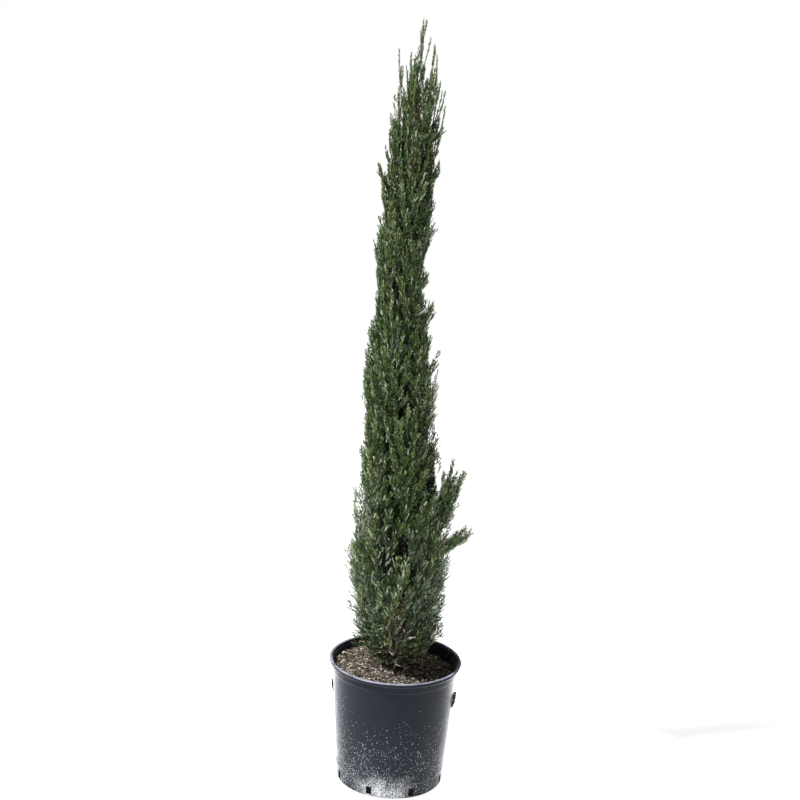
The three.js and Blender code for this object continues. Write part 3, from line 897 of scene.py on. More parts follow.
leafColors = {
    "shade": (0.013, 0.022, 0.010),
    "deep": (0.042, 0.078, 0.026),
    "green": (0.093, 0.162, 0.042),
    "grey": (0.104, 0.148, 0.090),
    "fresh": (0.200, 0.302, 0.082),
    # pale: mostly painted glints, where leaves would catch the sun
    "pale": (0.560, 0.630, 0.470),
    "olive": (0.185, 0.190, 0.055),
    "dry": (0.125, 0.100, 0.060),
}
leafNumber = {name: number for number, name in enumerate(leafColors)}
lighterLeaf = {"shade": "shade", "deep": "green", "green": "fresh", "grey": "pale", "fresh": "pale",
               "pale": "pale", "olive": "pale", "dry": "dry"}
darkerLeaf = {"shade": "shade", "deep": "shade", "green": "deep", "grey": "deep", "fresh": "green",
              "pale": "grey", "olive": "green", "dry": "shade"}
leafPlaces = {  # where the colours change: pairs are heights over which a share grows from none to full
    "low": (1000, 500),
    "high": (1300, 1800),
    "foot": (540, 420),
    "innerTop": (1500, 2000),  # the inner foliage shows dark up to a height between these
    "innerReach": 0.62,  # the darkest of it, within this share of the crown's reach
    "standingTop": 1000,  # shoots that stand clear of the crown, under this height
    "leaderFrom": 1900,  # and over this one
    "darkMiddle": (-45, 34, 860),  # a dark strip of foliage: across, half width, top
    "withered": (-4, 440, 46, 140),  # a dry patch: across, height, half width, half height
}
leafFinish = {
    "roughness": 0.45,
    "specular": 0.4,
    "patches": (90, 0.35),  # of colour: how many to a metre, and how much darker or lighter
    "mostFaces": 190000,  # in a piece
    "glint": (0.03, 0.06),  # the share of leaves given the pale colour as painted glints, in spreading and upright foliage
}


def dealColors(branchlets):  # the number of each branchlet's colour
    count = len(branchlets["length"])
    layerOf = ofSprays("layer", branchlets["spray"])
    luck = dice.uniform(0, 1, count)
    sprayLuck = dice.uniform(0, 1, len(sprays))[branchlets["spray"]]
    share, tips, height = branchlets["share"], branchlets["tip"], branchlets["place"][:, 2]
    low, high, foot = (runFrom(height, *leafPlaces[key]) for key in ("low", "high", "foot"))
    inner = (layerOf == "inner") & (height < mix(*leafPlaces["innerTop"], luck))
    out = tips - trunkAt(tips[:, 2])
    azimuth = np.arctan2(out[:, 1], out[:, 0])
    reach = np.hypot(out[:, 0], out[:, 1]) / reachAt(azimuth, tips[:, 2], fineOutline)
    # painted shade: inner foliage near the trunk takes the shade colour
    deep = inner & (reach < leafPlaces["innerReach"])
    standing = (layerOf == "placed") & (height < leafPlaces["standingTop"])
    leader = (layerOf == "placed") & (height > leafPlaces["leaderFrom"])
    stripAcross, stripHalf, stripTop = leafPlaces["darkMiddle"]
    middle = (np.abs(tips[:, 0] - stripAcross) < stripHalf) & (height < stripTop)
    dryAcross, dryLevel, dryHalf, dryHalfHeight = leafPlaces["withered"]
    withered = ((tips[:, 0] - dryAcross) / dryHalf) ** 2 + ((height - dryLevel) / dryHalfHeight) ** 2 < 1
    rules = (  # each colour and where it goes; a later row wins
        ("deep", luck < 0.34),
        ("grey", sprayLuck < 0.6 * low + 0.02),
        ("fresh", (sprayLuck > 0.72) & (luck > 0.35)),
        ("fresh", (share > 0.8) & (luck > 0.8)),
        ("olive", (sprayLuck > 0.95 - 0.05 * (1 - low) - 0.12 * high) & (luck > 0.4)),
        # painted glints: a few outer leaves take the pale colour
        ("pale", (share > 0.4) & (luck > 0.93)),
        # painted shade inside the crown: the inner foliage takes the darker colours
        ("deep", inner),
        ("shade", deep & (luck < 0.7)),
        ("dry", inner & (sprayLuck < 0.02 + 0.08 * low + 0.3 * foot) & (luck > 0.3)),
        ("shade", (share < 0.3) & (luck < 0.5) & ~inner),
        ("deep", middle & (luck < 0.45) | (foot > 0.3) & (luck < 0.5)),
        ("shade", (middle | (foot > 0.5)) & (luck < 0.15)),
        ("dry", withered & (luck < 0.45)),
        ("green", leader),
        ("fresh", leader & (luck > 0.4)),
        ("olive", leader & (luck > 0.7)),
        ("grey", standing),
        ("fresh", standing & (luck > 0.35)),
        ("pale", standing & (luck > 0.86)),
    )
    colors = np.full(count, leafNumber["green"])
    for name, chosen in rules:
        colors[chosen] = leafNumber[name]
    return colors


def dealCordColors(colors, cords):  # mostly the branchlet's own, darker at its foot and lighter at its tip
    luck = dice.uniform(0, 1, len(cords["owner"]))
    dealt = colors[cords["owner"]]
    lighter = np.array([leafNumber[name] for name in lighterLeaf.values()])
    darker = np.array([leafNumber[name] for name in darkerLeaf.values()])
    isTip = (cords["share"] > 0.5) & (luck > 0.64)
    isFoot = (cords["share"] < 0.35) & (luck > 0.55)
    # painted glints: a scattering of leaves take the pale colour
    glintShare = mix(*leafFinish["glint"], uprightness(cords["start"][:, 2]))
    isGlint = (luck < glintShare) & (dealt != leafNumber["shade"])
    dealt = np.where(isTip, lighter[dealt], np.where(isFoot, darker[dealt], dealt))
    return np.where(isGlint, leafNumber["pale"], dealt)


def leafMaterial(name, color):
    finish = {"Roughness": leafFinish["roughness"], "Specular_IOR_Level": leafFinish["specular"]}
    material = newMaterial("leaf_" + name, **finish)[0]
    addMottle(material, color, *leafFinish["patches"])
    return material


def addFoliagePieces():
    branchlets = growBranchlets()
    cords = growCords(branchlets)
    colors = dealColors(branchlets)
    cordColors = dealCordColors(colors, cords)
    stemRadii = branchlet["radius"] * dice.uniform(*branchlet["thickness"], len(colors))
    stemHeights, cordHeights = branchlets["place"][:, 2], cords["start"][:, 2]
    pieces = []
    faceCount = 0
    for name, color in leafColors.items():
        material = leafMaterial(name, color)
        stemChosen, cordChosen = colors == leafNumber[name], cordColors == leafNumber[name]
        parts = math.ceil((4 * stemChosen.sum() + 2 * cordChosen.sum()) / leafFinish["mostFaces"])
        levels = np.quantile(cordHeights[cordChosen], np.linspace(0, 1, parts + 1))
        levels[0], levels[-1] = -np.inf, np.inf
        for number, (low, high) in enumerate(zip(levels, levels[1:])):
            ours = stemChosen & (stemHeights >= low) & (stemHeights < high)
            radii = stemRadii[ours]
            stems = slivers(branchlets["place"][ours], branchlets["tip"][ours], radii, radii * 9)
            ours = cordChosen & (cordHeights >= low) & (cordHeights < high)
            radii = cords["radius"][ours]
            scales = leaves(cords["start"][ours], cords["end"][ours], radii, radii * 30)
            piece = addMesh(f"leaves_{name}_{number + 1}", *joinMeshes([stems, scales]), material)
            pieces.append(piece)
            faceCount += len(piece.data.polygons)
            print("  ", piece.name, len(piece.data.polygons))
    print("leaf faces", faceCount)
    return pieces


leafPieces = addFoliagePieces()


# Twigs: the stems, and one twig for each spray from its stem to the spray's tip

twig = {
    "rootRadius": 1.4,
    "tipRadius": 0.45,
    "steps": 5,
    "length": 0.6,  # the share of the spray that it runs along
    "stemSides": 5,
    "stemDrop": 12,  # how far under the spray's root it leaves its stem
    "trunkDrop": (15, 1.5),  # or the trunk: this much, and so much for each millimetre it is aside
    "color": (0.075, 0.064, 0.042),
    "patches": (120, 0.35),
}


def twigPaths():
    paths = []
    for one in sprays:
        if "home" in one and one["layer"] != "inner":
            stemPoints = one["home"]["stem"]
            below = stemPoints[stemPoints[:, 2] < one["root"][2] - twig["stemDrop"]]
            start = below[-1] if len(below) else stemPoints[0]
        else:
            aside = abs(one["root"][0] - trunkAt(one["root"][2])[0])
            drop, slope = twig["trunkDrop"]
            start = trunkAt(max(crown["lowest"], one["root"][2] - drop - slope * aside))
        share = np.linspace(0, twig["length"], twig["steps"] - 1)
        shape = sprayPoint(one["root"], one["tip"], one["outward"], one["bow"], share)
        paths.append(np.vstack([start, shape]))
    return np.array(paths)


def addTwigs():
    material = newMaterial("twig_bark", Roughness=0.8)[0]
    addMottle(material, twig["color"], *twig["patches"])
    paths = twigPaths()
    radii = np.tile(np.linspace(twig["rootRadius"], twig["tipRadius"], twig["steps"]), (len(paths), 1))
    meshes = [tubes(paths, radii, 3)]
    for one in masses:
        foot = one["boughRadius"] * bough["taper"][-1] if one["hasBough"] else stem["radius"]
        stemRadii = np.linspace(foot, stem["tipRadius"], stem["steps"])
        meshes.append(tubes(one["stem"][None], stemRadii[None], twig["stemSides"]))
    piece = addMesh("twigs", *joinMeshes(meshes), material)
    print("twig faces", len(piece.data.polygons))
    return piece


twigPiece = addTwigs()


# Bark: trunk and boughs, with upright strips

bark = {
    "around": 40,
    "step": 7,
    "stripDepth": 0.9,
    "furrows": 2.2,  # how deep the furrows between the strips are beside that
    "stripSize": (5.0, 60),  # across and along
    "boughStripSize": (3.0, 60),
    "flakeSize": (3.0, 14),
    "flakes": 0.35,  # how deep they are beside the strips
    "fullFrom": 8,  # the radius from which the relief is at its full depth
    "boughAround": 12,
    "boughSteps": 22,
    "color": (0.085, 0.070, 0.054),
    "patches": (70, 0.45),
    "patchBump": (0.5, 0.001),
}


def relief(spot, stripSize):  # how far the bark stands out there, in long upright strips
    x, y, z = spot
    wide, long = stripSize
    strips = noise.noise(Vector((x / wide, y / wide, z / long)))
    wide, long = bark["flakeSize"]
    flakes = noise.noise(Vector((x / wide, y / wide, z / long + 7)))
    return bark["stripDepth"] * (1 - bark["furrows"] * abs(strips) + bark["flakes"] * flakes)


def barkTube(points, radii, around, stripSize, lobeDepths=None):
    along = unit(np.gradient(points, axis=0))
    wide = unit(np.cross(along, [0, 1.0, 0]))
    thin = np.cross(along, wide)
    angles = np.arange(around) * 2 * math.pi / around
    vertices = []
    for index, point in enumerate(points):
        for angle in angles:
            out = math.cos(angle) * wide[index] + math.sin(angle) * thin[index]
            radius = radii[index]
            if lobeDepths is not None:
                radius *= 1 + lobeDepths[index] * math.cos(trunk["lobes"] * angle)
            spot = point + out * radius
            vertices.append(spot + out * (relief(spot, stripSize) * min(1, radii[index] / bark["fullFrom"])))
    return np.vstack([vertices, points[0], points[-1]]), ringFaces(len(points), around)


def addBark():
    material = newMaterial("bark", Roughness=0.9)[0]
    node = addMottle(material, bark["color"], *bark["patches"])
    addBump(material, node.outputs["Patches"], *bark["patchBump"])
    heights = np.arange(trunk["foot"], trunk["tip"], bark["step"])
    lobeDepths = trunk["lobeDepth"] * np.maximum(0, 1 - (heights - trunk["foot"]) / trunk["flareHeight"])
    meshes = [barkTube(trunkAt(heights), trunkRadius(heights), bark["around"], bark["stripSize"], lobeDepths)]
    for one in masses:
        if one["hasBough"]:
            points = bezier(*one["bough"], bark["boughSteps"])
            taper = np.interp(np.linspace(0, 3, bark["boughSteps"]), [0, 1, 2, 3], bough["taper"])
            radii = taper * one["boughRadius"]
            meshes.append(barkTube(points, radii, bark["boughAround"], bark["boughStripSize"]))
    piece = addMesh("bark", *joinMeshes(meshes), material, smooth=True)
    print("bark faces", len(piece.data.polygons))
    return piece


barkPiece = addBark()


# Pot: turned from its profile, with notches round the foot and two ribs to lift it by

pot = {
    "height": 369,
    "rimRadius": 200,
    "lipHeight": 13,
    "lipRound": 6.2,
    "wallTopRadius": 190,
    "stepDrop": 34,
    "step": 1.5,
    "footTopRadius": 165,
    "footHeight": 45,
    "baseRadius": 162,
    "beadRound": 2.2,  # of the bead where the foot meets the wall
    "beadFoot": 1.2,
    "toeRound": 2,
    "footRing": (12, 9),  # in from the base's edge: the end of the recess, and the start of the standing ring
    "recess": 0.8,
    "wall": 3,
    "floor": 4,
    "segments": 160,
    "color": (0.0118, 0.0160, 0.0255),
    "patches": (9, 0.10),
    # the colour of the dust, also used for the painted edge highlight on the flanks
    "dustAndEdgeHighlight": (0.72, 0.74, 0.76),
    # the colour of the painted highlight along the top of the lip
    "lipHighlight": (0.30, 0.30, 0.38),
    "roughness": 0.32,
    "specular": 0.16,
    "sheen": 0.9,
    "sheenRoughness": 0.2,
    "grain": (700, 0.5, 0.12, 0.0006),  # how many to a metre, how coarse, how strong, how high in metres
}
notch = {"count": 8, "width": 17, "bottom": 5, "top": 30, "depth": 20, "firstAngle": -111, "rounding": 2.5}
lug = {"bottom": 238, "top": 280, "reach": 7, "width": 24, "sunk": 2, "angles": (-10, 170), "fullest": 0.35}


def potWallRadius(height):
    rise = (height - pot["footHeight"]) / (pot["height"] - pot["lipHeight"] - pot["footHeight"])
    return mix(pot["footTopRadius"], pot["wallTopRadius"], rise)


def arc(centre, radius, first, last, steps):  # points round a centre, angles in degrees from straight out
    angles = np.radians(np.linspace(first, last, steps))
    return [(centre[0] + radius * math.cos(a), centre[1] + radius * math.sin(a)) for a in angles]


def potProfile():
    stepHeight = pot["height"] - pot["stepDrop"]
    lipBottom = pot["height"] - pot["lipHeight"]
    lip = (pot["rimRadius"] - pot["lipRound"], pot["height"] - pot["lipRound"])
    inside = pot["wallTopRadius"] - pot["wall"]
    base, recess, toe, bead = (pot[key] for key in ("baseRadius", "recess", "toeRound", "beadRound"))
    recessEdge, ringEdge = pot["footRing"]
    footEdge = pot["footTopRadius"] - pot["step"]
    wall = potWallRadius(stepHeight)
    outer = [(0, recess), (base - recessEdge, recess), (base - ringEdge, 0)]
    outer += arc((base - toe, toe), toe, -90, 0, 4)
    for share in (0.12, 0.35, 0.7, 0.9):
        outer.append((mix(base, footEdge, share), share * (pot["footHeight"] - 3)))
    outer += arc((pot["footTopRadius"] - bead, pot["footHeight"]), bead, -35, 25, 4)
    for height in np.linspace(pot["footHeight"] + 6, stepHeight - 4, 16):
        beadFoot = pot["beadFoot"] * math.exp((pot["footHeight"] - height) / 6)
        outer.append((potWallRadius(height) - pot["step"] + beadFoot, height))
    outer += [(wall - pot["step"], stepHeight - 1), (wall - 0.4, stepHeight + 0.6), (wall, stepHeight + 2)]
    outer += [(potWallRadius(height), height) for height in np.linspace(stepHeight + 6, lipBottom - 3, 4)]
    outer += [(pot["wallTopRadius"] + 0.6, lipBottom - 0.8), *arc(lip, pot["lipRound"], -78, 112, 14)]
    outer += [(inside + 2.2, pot["height"] - 2.2), (inside + 0.6, pot["height"] - 4.6), (inside, lipBottom)]
    for height in (stepHeight, 200, 60):
        outer.append((potWallRadius(height) - pot["step"] - pot["wall"], height))
    return np.array(outer + [(base - pot["wall"], pot["floor"]), (0, pot["floor"])])


def turned(profile, segments):  # the closed skin of a profile turned about the upright axis
    angles = np.arange(segments) * 2 * math.pi / segments
    rings = profile[1:-1]
    vertices = np.stack([
        rings[:, None, 0] * np.cos(angles),
        rings[:, None, 0] * np.sin(angles),
        np.repeat(rings[:, 1:], segments, axis=1),
    ], axis=-1).reshape(-1, 3)
    vertices = np.vstack([vertices, [0, 0, profile[0][1]], [0, 0, profile[-1][1]]])
    return vertices, ringFaces(len(rings), segments)


def prism(shape, depth, axes, middle):  # a flat shape drawn out to both sides, on its own axes round a middle
    count = len(shape)
    flat = np.array(shape)
    vertices = np.vstack([np.c_[flat, np.full(count, -depth / 2)], np.c_[flat, np.full(count, depth / 2)]])
    near = np.arange(count)
    far = (near + 1) % count
    corner = np.arange(1, count - 1)
    faces = [(near, far, far + count), (near, far + count, near + count), (0 * corner, corner + 1, corner),
             (0 * corner + count, corner + count, corner + count + 1)]
    return vertices @ np.array(axes) + middle, np.concatenate([np.stack(part, axis=-1) for part in faces])


def notchCutters():  # rounded boxes through the foot of the wall
    meshes = []
    width, height, rounding = notch["width"] / 2, (notch["top"] - notch["bottom"]) / 2, notch["rounding"]
    shape = []
    for corner, (x, y) in enumerate([(width, -height), (width, height), (-width, height), (-width, -height)]):
        centre = (x - math.copysign(rounding, x), y - math.copysign(rounding, y))
        shape += arc(centre, rounding, corner * 90 - 90, corner * 90, 4)
    for index in range(notch["count"]):
        out = towards(math.radians(notch["firstAngle"] + 360 / notch["count"] * index))
        middle = out * pot["baseRadius"] + up * (notch["top"] + notch["bottom"]) / 2
        meshes.append(prism(shape, notch["depth"], [np.cross(up, out), up, out], middle))
    return joinMeshes(meshes)


def lugShapes():
    meshes = []
    top, bottom = potWallRadius(lug["top"]), potWallRadius(lug["bottom"])
    reach = top + lug["reach"]
    curve = bezier(np.array([bottom + 1, lug["bottom"]]),
                   np.array([reach, mix(lug["bottom"], lug["top"], lug["fullest"])]),
                   np.array([reach, lug["top"] - 1.5]), 10)
    shape = [(top - lug["sunk"], lug["top"]), (bottom - lug["sunk"], lug["bottom"]), *map(tuple, curve),
             (reach - 1.5, lug["top"])]
    for angle in lug["angles"]:
        out = towards(math.radians(angle))
        meshes.append(prism(shape, lug["width"], [out, up, np.cross(out, up)], 0))
    return joinMeshes(meshes)


def withBoolean(piece, tool, operation):
    modifier = piece.modifiers.new(operation, "BOOLEAN")
    modifier.operation = operation
    modifier.object = tool
    modifier.solver = "EXACT"
    shaped = piece.evaluated_get(bpy.context.evaluated_depsgraph_get())
    mesh = bpy.data.meshes.new_from_object(shaped)
    piece.modifiers.clear()
    piece.data = mesh
    bpy.data.objects.remove(tool)


def makeGrain():  # fine height for the skin of moulded or rough stuff
    group, given, result = newGroup(
        "grain",
        [("Scale", "NodeSocketFloat", 400.0), ("Coarse", "NodeSocketFloat", 0.2)],
        [("Height", "NodeSocketFloat")],
    )
    place = objectPlace(group)
    heights = []
    for share in (1.0, 0.12):
        scale = mathNode(group, "MULTIPLY", given.outputs["Scale"], share)
        pattern = addNode(group, "ShaderNodeTexNoise", Vector=place, Scale=scale, Detail=2.0)
        heights.append(pattern.outputs["Fac"])
    coarse = mathNode(group, "MULTIPLY", heights[1], given.outputs["Coarse"])
    group.links.new(mathNode(group, "ADD", heights[0], coarse), result.inputs["Height"])
    return group


grainGroup = makeGrain()


def addGrain(material, scale, coarse, strength, distance):
    node = addNode(material.node_tree, "ShaderNodeGroup", node_tree=grainGroup, Scale=scale, Coarse=coarse)
    addBump(material, node.outputs["Height"], strength, distance)


def makeSpecks():  # round specks, scattered one to a cell
    group, given, result = newGroup(
        "specks",
        [("Scale", "NodeSocketFloat", 200.0), ("Share", "NodeSocketFloat", 0.1),
         ("Size", "NodeSocketFloat", 0.3)],
        [("Amount", "NodeSocketFloat")],
    )
    cells = addNode(group, "ShaderNodeTexVoronoi", Vector=objectPlace(group), Scale=given.outputs["Scale"],
                    Randomness=0.9)
    luck = group.nodes.new("ShaderNodeSeparateColor")
    group.links.new(cells.outputs["Color"], luck.inputs[0])
    chosen = mathNode(group, "LESS_THAN", luck.outputs[0], given.outputs["Share"])
    size = mathNode(group, "MULTIPLY", given.outputs["Size"], ramp(group, luck.outputs[1], 0, 1, 0.5, 1.3))
    near = mathNode(group, "LESS_THAN", cells.outputs["Distance"], size)
    group.links.new(mathNode(group, "MULTIPLY", chosen, near), result.inputs["Amount"])
    return group


specksGroup = makeSpecks()


def addSpecks(tree, scale, share, size):
    values = {"Scale": scale, "Share": share, "Size": size}
    return addNode(tree, "ShaderNodeGroup", node_tree=specksGroup, **values).outputs["Amount"]


# dust on the pot, with painted highlights on its flanks and along the top of its lip
potDustAndHighlights = {  # heights and places in metres; pairs are where a share runs from none to full
    "clouds": 26,
    "cloudy": (0.3, 0.68, 0.4, 1.5),  # noise from and to, then the least and the most that shows there
    "crumbs": 330,
    "crumbly": (0.42, 0.60, 0.1, 1.5),
    "patchFront": (-0.10, -0.15),  # the powdery patch low on the front
    "patchHeight": (0.08, 0.01),
    "patchMiddle": -0.014,
    "patchAcross": (0.095, 0.03),
    "patchPowder": 0.8,
    "sides": (0.72, 0.97),  # painted edge highlight on the flanks, by how far a place is turned to the left or right
    "edgeHighlightHeight": (0.345, 0.12),
    "edgeHighlightLeast": 0.35,
    "edgeHighlightGrit": 0.2,
    "edgeHighlightPowder": 0.12,
    "edgeHighlightPower": 2.5,  # more draws that painted highlight closer to the edges
    "lowerHeight": (0.32, 0.0),
    "lowerPower": 1.7,
    "lowerGrit": 0.30,
    "lowerPowder": 0.02,
    "speckShare": (0.010, 0.42),  # for all of the wall, and more towards the foot
    "speckHeight": (0.30, 0.26),
    "speckScale": 250,
    "speckSize": 0.14,
    "gritScale": 420,
    "gritSize": 0.34,
    "crest": (0.3655, 0.3685),  # the painted highlight line along the top of the lip
    "crestHighlightPatches": (0.3, 0.6, 0.3, 1.0),
    "roughness": 0.9,
}


def potMaterial():
    material, shader = newMaterial("pot_plastic", Specular_IOR_Level=pot["specular"],
                                   Sheen_Weight=pot["sheen"], Sheen_Roughness=pot["sheenRoughness"])
    tree = material.node_tree
    plastic = addMottle(material, pot["color"], *pot["patches"])
    place = objectPlace(tree)
    x, y, height = addNode(tree, "ShaderNodeSeparateXYZ", Vector=place).outputs

    def times(first, second):
        return mathNode(tree, "MULTIPLY", first, second)

    def plus(first, share, base):  # base + share * first
        return mathNode(tree, "MULTIPLY_ADD", first, share, base)

    def noiseAt(**values):
        return addNode(tree, "ShaderNodeTexNoise", Vector=place, **values).outputs["Fac"]

    clouds = noiseAt(Scale=potDustAndHighlights["clouds"], Detail=4.0, Roughness=0.65)
    cloudy = ramp(tree, clouds, *potDustAndHighlights["cloudy"])
    crumbly = ramp(tree, noiseAt(Scale=potDustAndHighlights["crumbs"], Detail=2.0), *potDustAndHighlights["crumbly"])
    lower = mathNode(tree, "POWER", ramp(tree, height, *potDustAndHighlights["lowerHeight"]), potDustAndHighlights["lowerPower"])
    # the patch on the front
    across = mathNode(tree, "ABSOLUTE", mathNode(tree, "SUBTRACT", x, potDustAndHighlights["patchMiddle"]))
    patch = times(ramp(tree, y, *potDustAndHighlights["patchFront"]), ramp(tree, height, *potDustAndHighlights["patchHeight"]))
    patch = times(patch, ramp(tree, across, *potDustAndHighlights["patchAcross"]))
    # the painted edge highlight on the left and right flanks
    out = mathNode(tree, "SQRT", plus(x, x, times(y, y)))
    aside = mathNode(tree, "DIVIDE", mathNode(tree, "ABSOLUTE", x), out)
    fade = ramp(tree, height, *potDustAndHighlights["edgeHighlightHeight"], potDustAndHighlights["edgeHighlightLeast"], 1.0)
    paintedEdgeHighlight = times(ramp(tree, aside, *potDustAndHighlights["sides"]), fade)
    # specks, grit and powder, with the painted edge highlight mixed into the grit and powder
    specks = times(plus(lower, potDustAndHighlights["speckShare"][1], potDustAndHighlights["speckShare"][0]), cloudy)
    specks = addSpecks(tree, potDustAndHighlights["speckScale"], specks, potDustAndHighlights["speckSize"])
    specks = times(specks, ramp(tree, height, *potDustAndHighlights["speckHeight"]))
    gritAndEdgeHighlight = plus(lower, potDustAndHighlights["lowerGrit"], times(patch, potDustAndHighlights["patchPowder"]))
    gritAndEdgeHighlight = plus(paintedEdgeHighlight, potDustAndHighlights["edgeHighlightGrit"], gritAndEdgeHighlight)
    gritAndEdgeHighlight = addSpecks(tree, potDustAndHighlights["gritScale"], times(gritAndEdgeHighlight, cloudy), potDustAndHighlights["gritSize"])
    powderAndEdgeHighlight = plus(patch, potDustAndHighlights["patchPowder"], times(lower, potDustAndHighlights["lowerPowder"]))
    powderAndEdgeHighlight = plus(mathNode(tree, "POWER", paintedEdgeHighlight, potDustAndHighlights["edgeHighlightPower"]), potDustAndHighlights["edgeHighlightPowder"], powderAndEdgeHighlight)
    powderAndEdgeHighlight = times(times(powderAndEdgeHighlight, cloudy), crumbly)
    dustAndEdgeHighlight = mathNode(tree, "MAXIMUM", mathNode(tree, "MAXIMUM", specks, gritAndEdgeHighlight), powderAndEdgeHighlight)
    color = mixColors(tree, dustAndEdgeHighlight, plastic.outputs["Color"], (*pot["dustAndEdgeHighlight"], 1))
    # painted highlight along the lip's crest, broken into patches
    crest = times(ramp(tree, height, *potDustAndHighlights["crest"]), ramp(tree, clouds, *potDustAndHighlights["crestHighlightPatches"]))
    color = mixColors(tree, crest, color, (*pot["lipHighlight"], 1))
    tree.links.new(color, shader.inputs["Base Color"])
    roughness = ramp(tree, dustAndEdgeHighlight, 0.0, 1.0, pot["roughness"], potDustAndHighlights["roughness"])
    tree.links.new(roughness, shader.inputs["Roughness"])
    addGrain(material, *pot["grain"])
    return material


def addPot():
    material = potMaterial()
    piece = addMesh("pot_shell", *turned(potProfile(), pot["segments"]), material, smooth=True)
    withBoolean(piece, addMesh("lug_tool", *lugShapes(), material), "UNION")
    withBoolean(piece, addMesh("notch_tool", *notchCutters(), material), "DIFFERENCE")
    piece.data.shade_smooth()
    piece.data.set_sharp_from_angle(angle=math.radians(32))
    print("pot faces", len(piece.data.polygons))
    return piece


potPiece = addPot()


# Soil: a rough surface of dry compost, with chips, crumbs and straws lying on it

soil = {
    "bottom": 4.5,
    "edge": 333,
    "edgeGap": 0.2,
    "footGap": 0.4,
    "top": soilLevel,
    "collar": 34,
    "lean": 11,
    "rises": ((0.86, 3), (0.66, 7), (0.44, 10)),
    "rings": 72,
    "segments": 250,
    "swell": (5.0, 24.0),  # depth and size
    "crumble": (7.0, 9.0),
    "crumbs": (2.2, 3.1),
    "sunk": 0.8,
    "color": (0.064, 0.054, 0.044),
    "patches": (60, 0.55),
    "hollowShade": (0.008, 0.007, 0.006),  # painted shade, deep between the crumbs
    "hollowShadeHeights": (0.325, 0.31),  # where the painted shade fades in, in metres
    "grain": (900, 1.5, 0.6, 0.001),
    "ringSpacing": (0.02, 0.85),  # the innermost ring's share of the way out, and the power they spread by
}
litter = {
    "edgeGap": 5,
    "tilt": 0.22,
    "chips": 3400,
    "chipLength": (3, 12),
    "chipWidth": (0.25, 0.5),  # beside its length
    "chipHeight": (0.08, 0.2),
    "chipCorners": 0.5,  # how far their corners are off a regular shape
    "chipLift": 0.8,
    "straws": 1300,
    "strawLength": (10, 38),
    "strawRadius": 0.6,
    "strawBend": 0.08,
    "strawLift": 1.4,
    "strawSpread": (0.6, 1.5),  # of their radius
    "patches": (60, 0.3),
}
litterColors = {  # each colour, its share of the chips and its share of the straws
    "pale": ((0.70, 0.63, 0.54), 0.28, 0.38),
    "tan": ((0.27, 0.215, 0.17), 0.20, 0.32),
    "brown": ((0.08, 0.060, 0.042), 0.13, 0.18),
    # dark: near-black chips, painted shade standing in for the dark gaps between crumbs
    "dark": ((0.014, 0.012, 0.011), 0.33, 0.06),
    "green": ((0.085, 0.100, 0.050), 0.06, 0.06),
}


def soilRadius():  # at the wall
    return potWallRadius(soil["edge"]) - pot["step"] - pot["wall"]


def soilHeight(x, y):
    edgeRadius = soilRadius()
    out = math.hypot(x, y)
    radii = [soil["collar"], *(edgeRadius * share for share, rise in reversed(soil["rises"])), edgeRadius]
    levels = [soil["top"], *(soil["edge"] + rise for share, rise in reversed(soil["rises"])), soil["edge"]]
    base = np.interp(out, radii, levels) - soil["lean"] * x / edgeRadius * min(1, out / edgeRadius)
    roughness = 0
    for depth, size in (soil["swell"], soil["crumble"]):
        roughness += depth * noise.noise(Vector((x / size, y / size, size)))
    depth, size = soil["crumbs"]
    crumbs = abs(noise.noise(Vector((x / size, y / size, 9.0))))
    return base + roughness + depth * crumbs - soil["sunk"]


def soilMaterial(name, color, patches):
    material, shader = newMaterial(name, Roughness=0.95, Specular_IOR_Level=0.15)
    tree = material.node_tree
    node = addMottle(material, color, *patches)
    height = addNode(tree, "ShaderNodeSeparateXYZ", Vector=objectPlace(tree)).outputs[2]
    # painted shade: darker in the low hollows of the soil and litter
    deep = ramp(tree, height, *soil["hollowShadeHeights"])
    hollowShade = mixColors(tree, deep, node.outputs["Color"], (*soil["hollowShade"], 1))
    tree.links.new(hollowShade, shader.inputs["Base Color"])
    addGrain(material, *soil["grain"])
    return material


def addSoil():
    first, power = soil["ringSpacing"]
    shares = np.linspace(first, 1, soil["rings"])[::-1, None] ** power
    radii = shares * (soilRadius() - soil["edgeGap"])
    angles = np.arange(soil["segments"]) * 2 * math.pi / soil["segments"]
    flat = np.stack([radii * np.cos(angles), radii * np.sin(angles)], axis=-1).reshape(-1, 2)
    top = np.array([(x, y, soilHeight(x, y)) for x, y in flat])
    low = pot["baseRadius"] - pot["wall"] - soil["footGap"]
    foot = towards(angles) * low + up * soil["bottom"]
    vertices = np.vstack([foot, top, [0, 0, soil["bottom"]], [0, 0, soilHeight(0, 0)]])
    faces = ringFaces(soil["rings"] + 1, soil["segments"])
    material = soilMaterial("compost", soil["color"], soil["patches"])
    piece = addMesh("soil", vertices, faces, material, smooth=True)
    print("soil faces", len(piece.data.polygons))
    return piece


def scatter(count, lift):  # places on the soil, and directions along it
    out = (soilRadius() - litter["edgeGap"]) * np.sqrt(dice.uniform(0.02, 1, count))
    turn = dice.uniform(0, 2 * math.pi, count)
    x, y = out * np.cos(turn), out * np.sin(turn)
    heights = np.array([soilHeight(a, b) for a, b in zip(x, y)])
    lie = dice.uniform(0, 2 * math.pi, count)
    tilt = dice.normal(0, litter["tilt"], count)
    direction = np.stack([np.cos(lie) * np.cos(tilt), np.sin(lie) * np.cos(tilt), np.sin(tilt)], axis=-1)
    return np.stack([x, y, heights + lift], axis=-1), direction


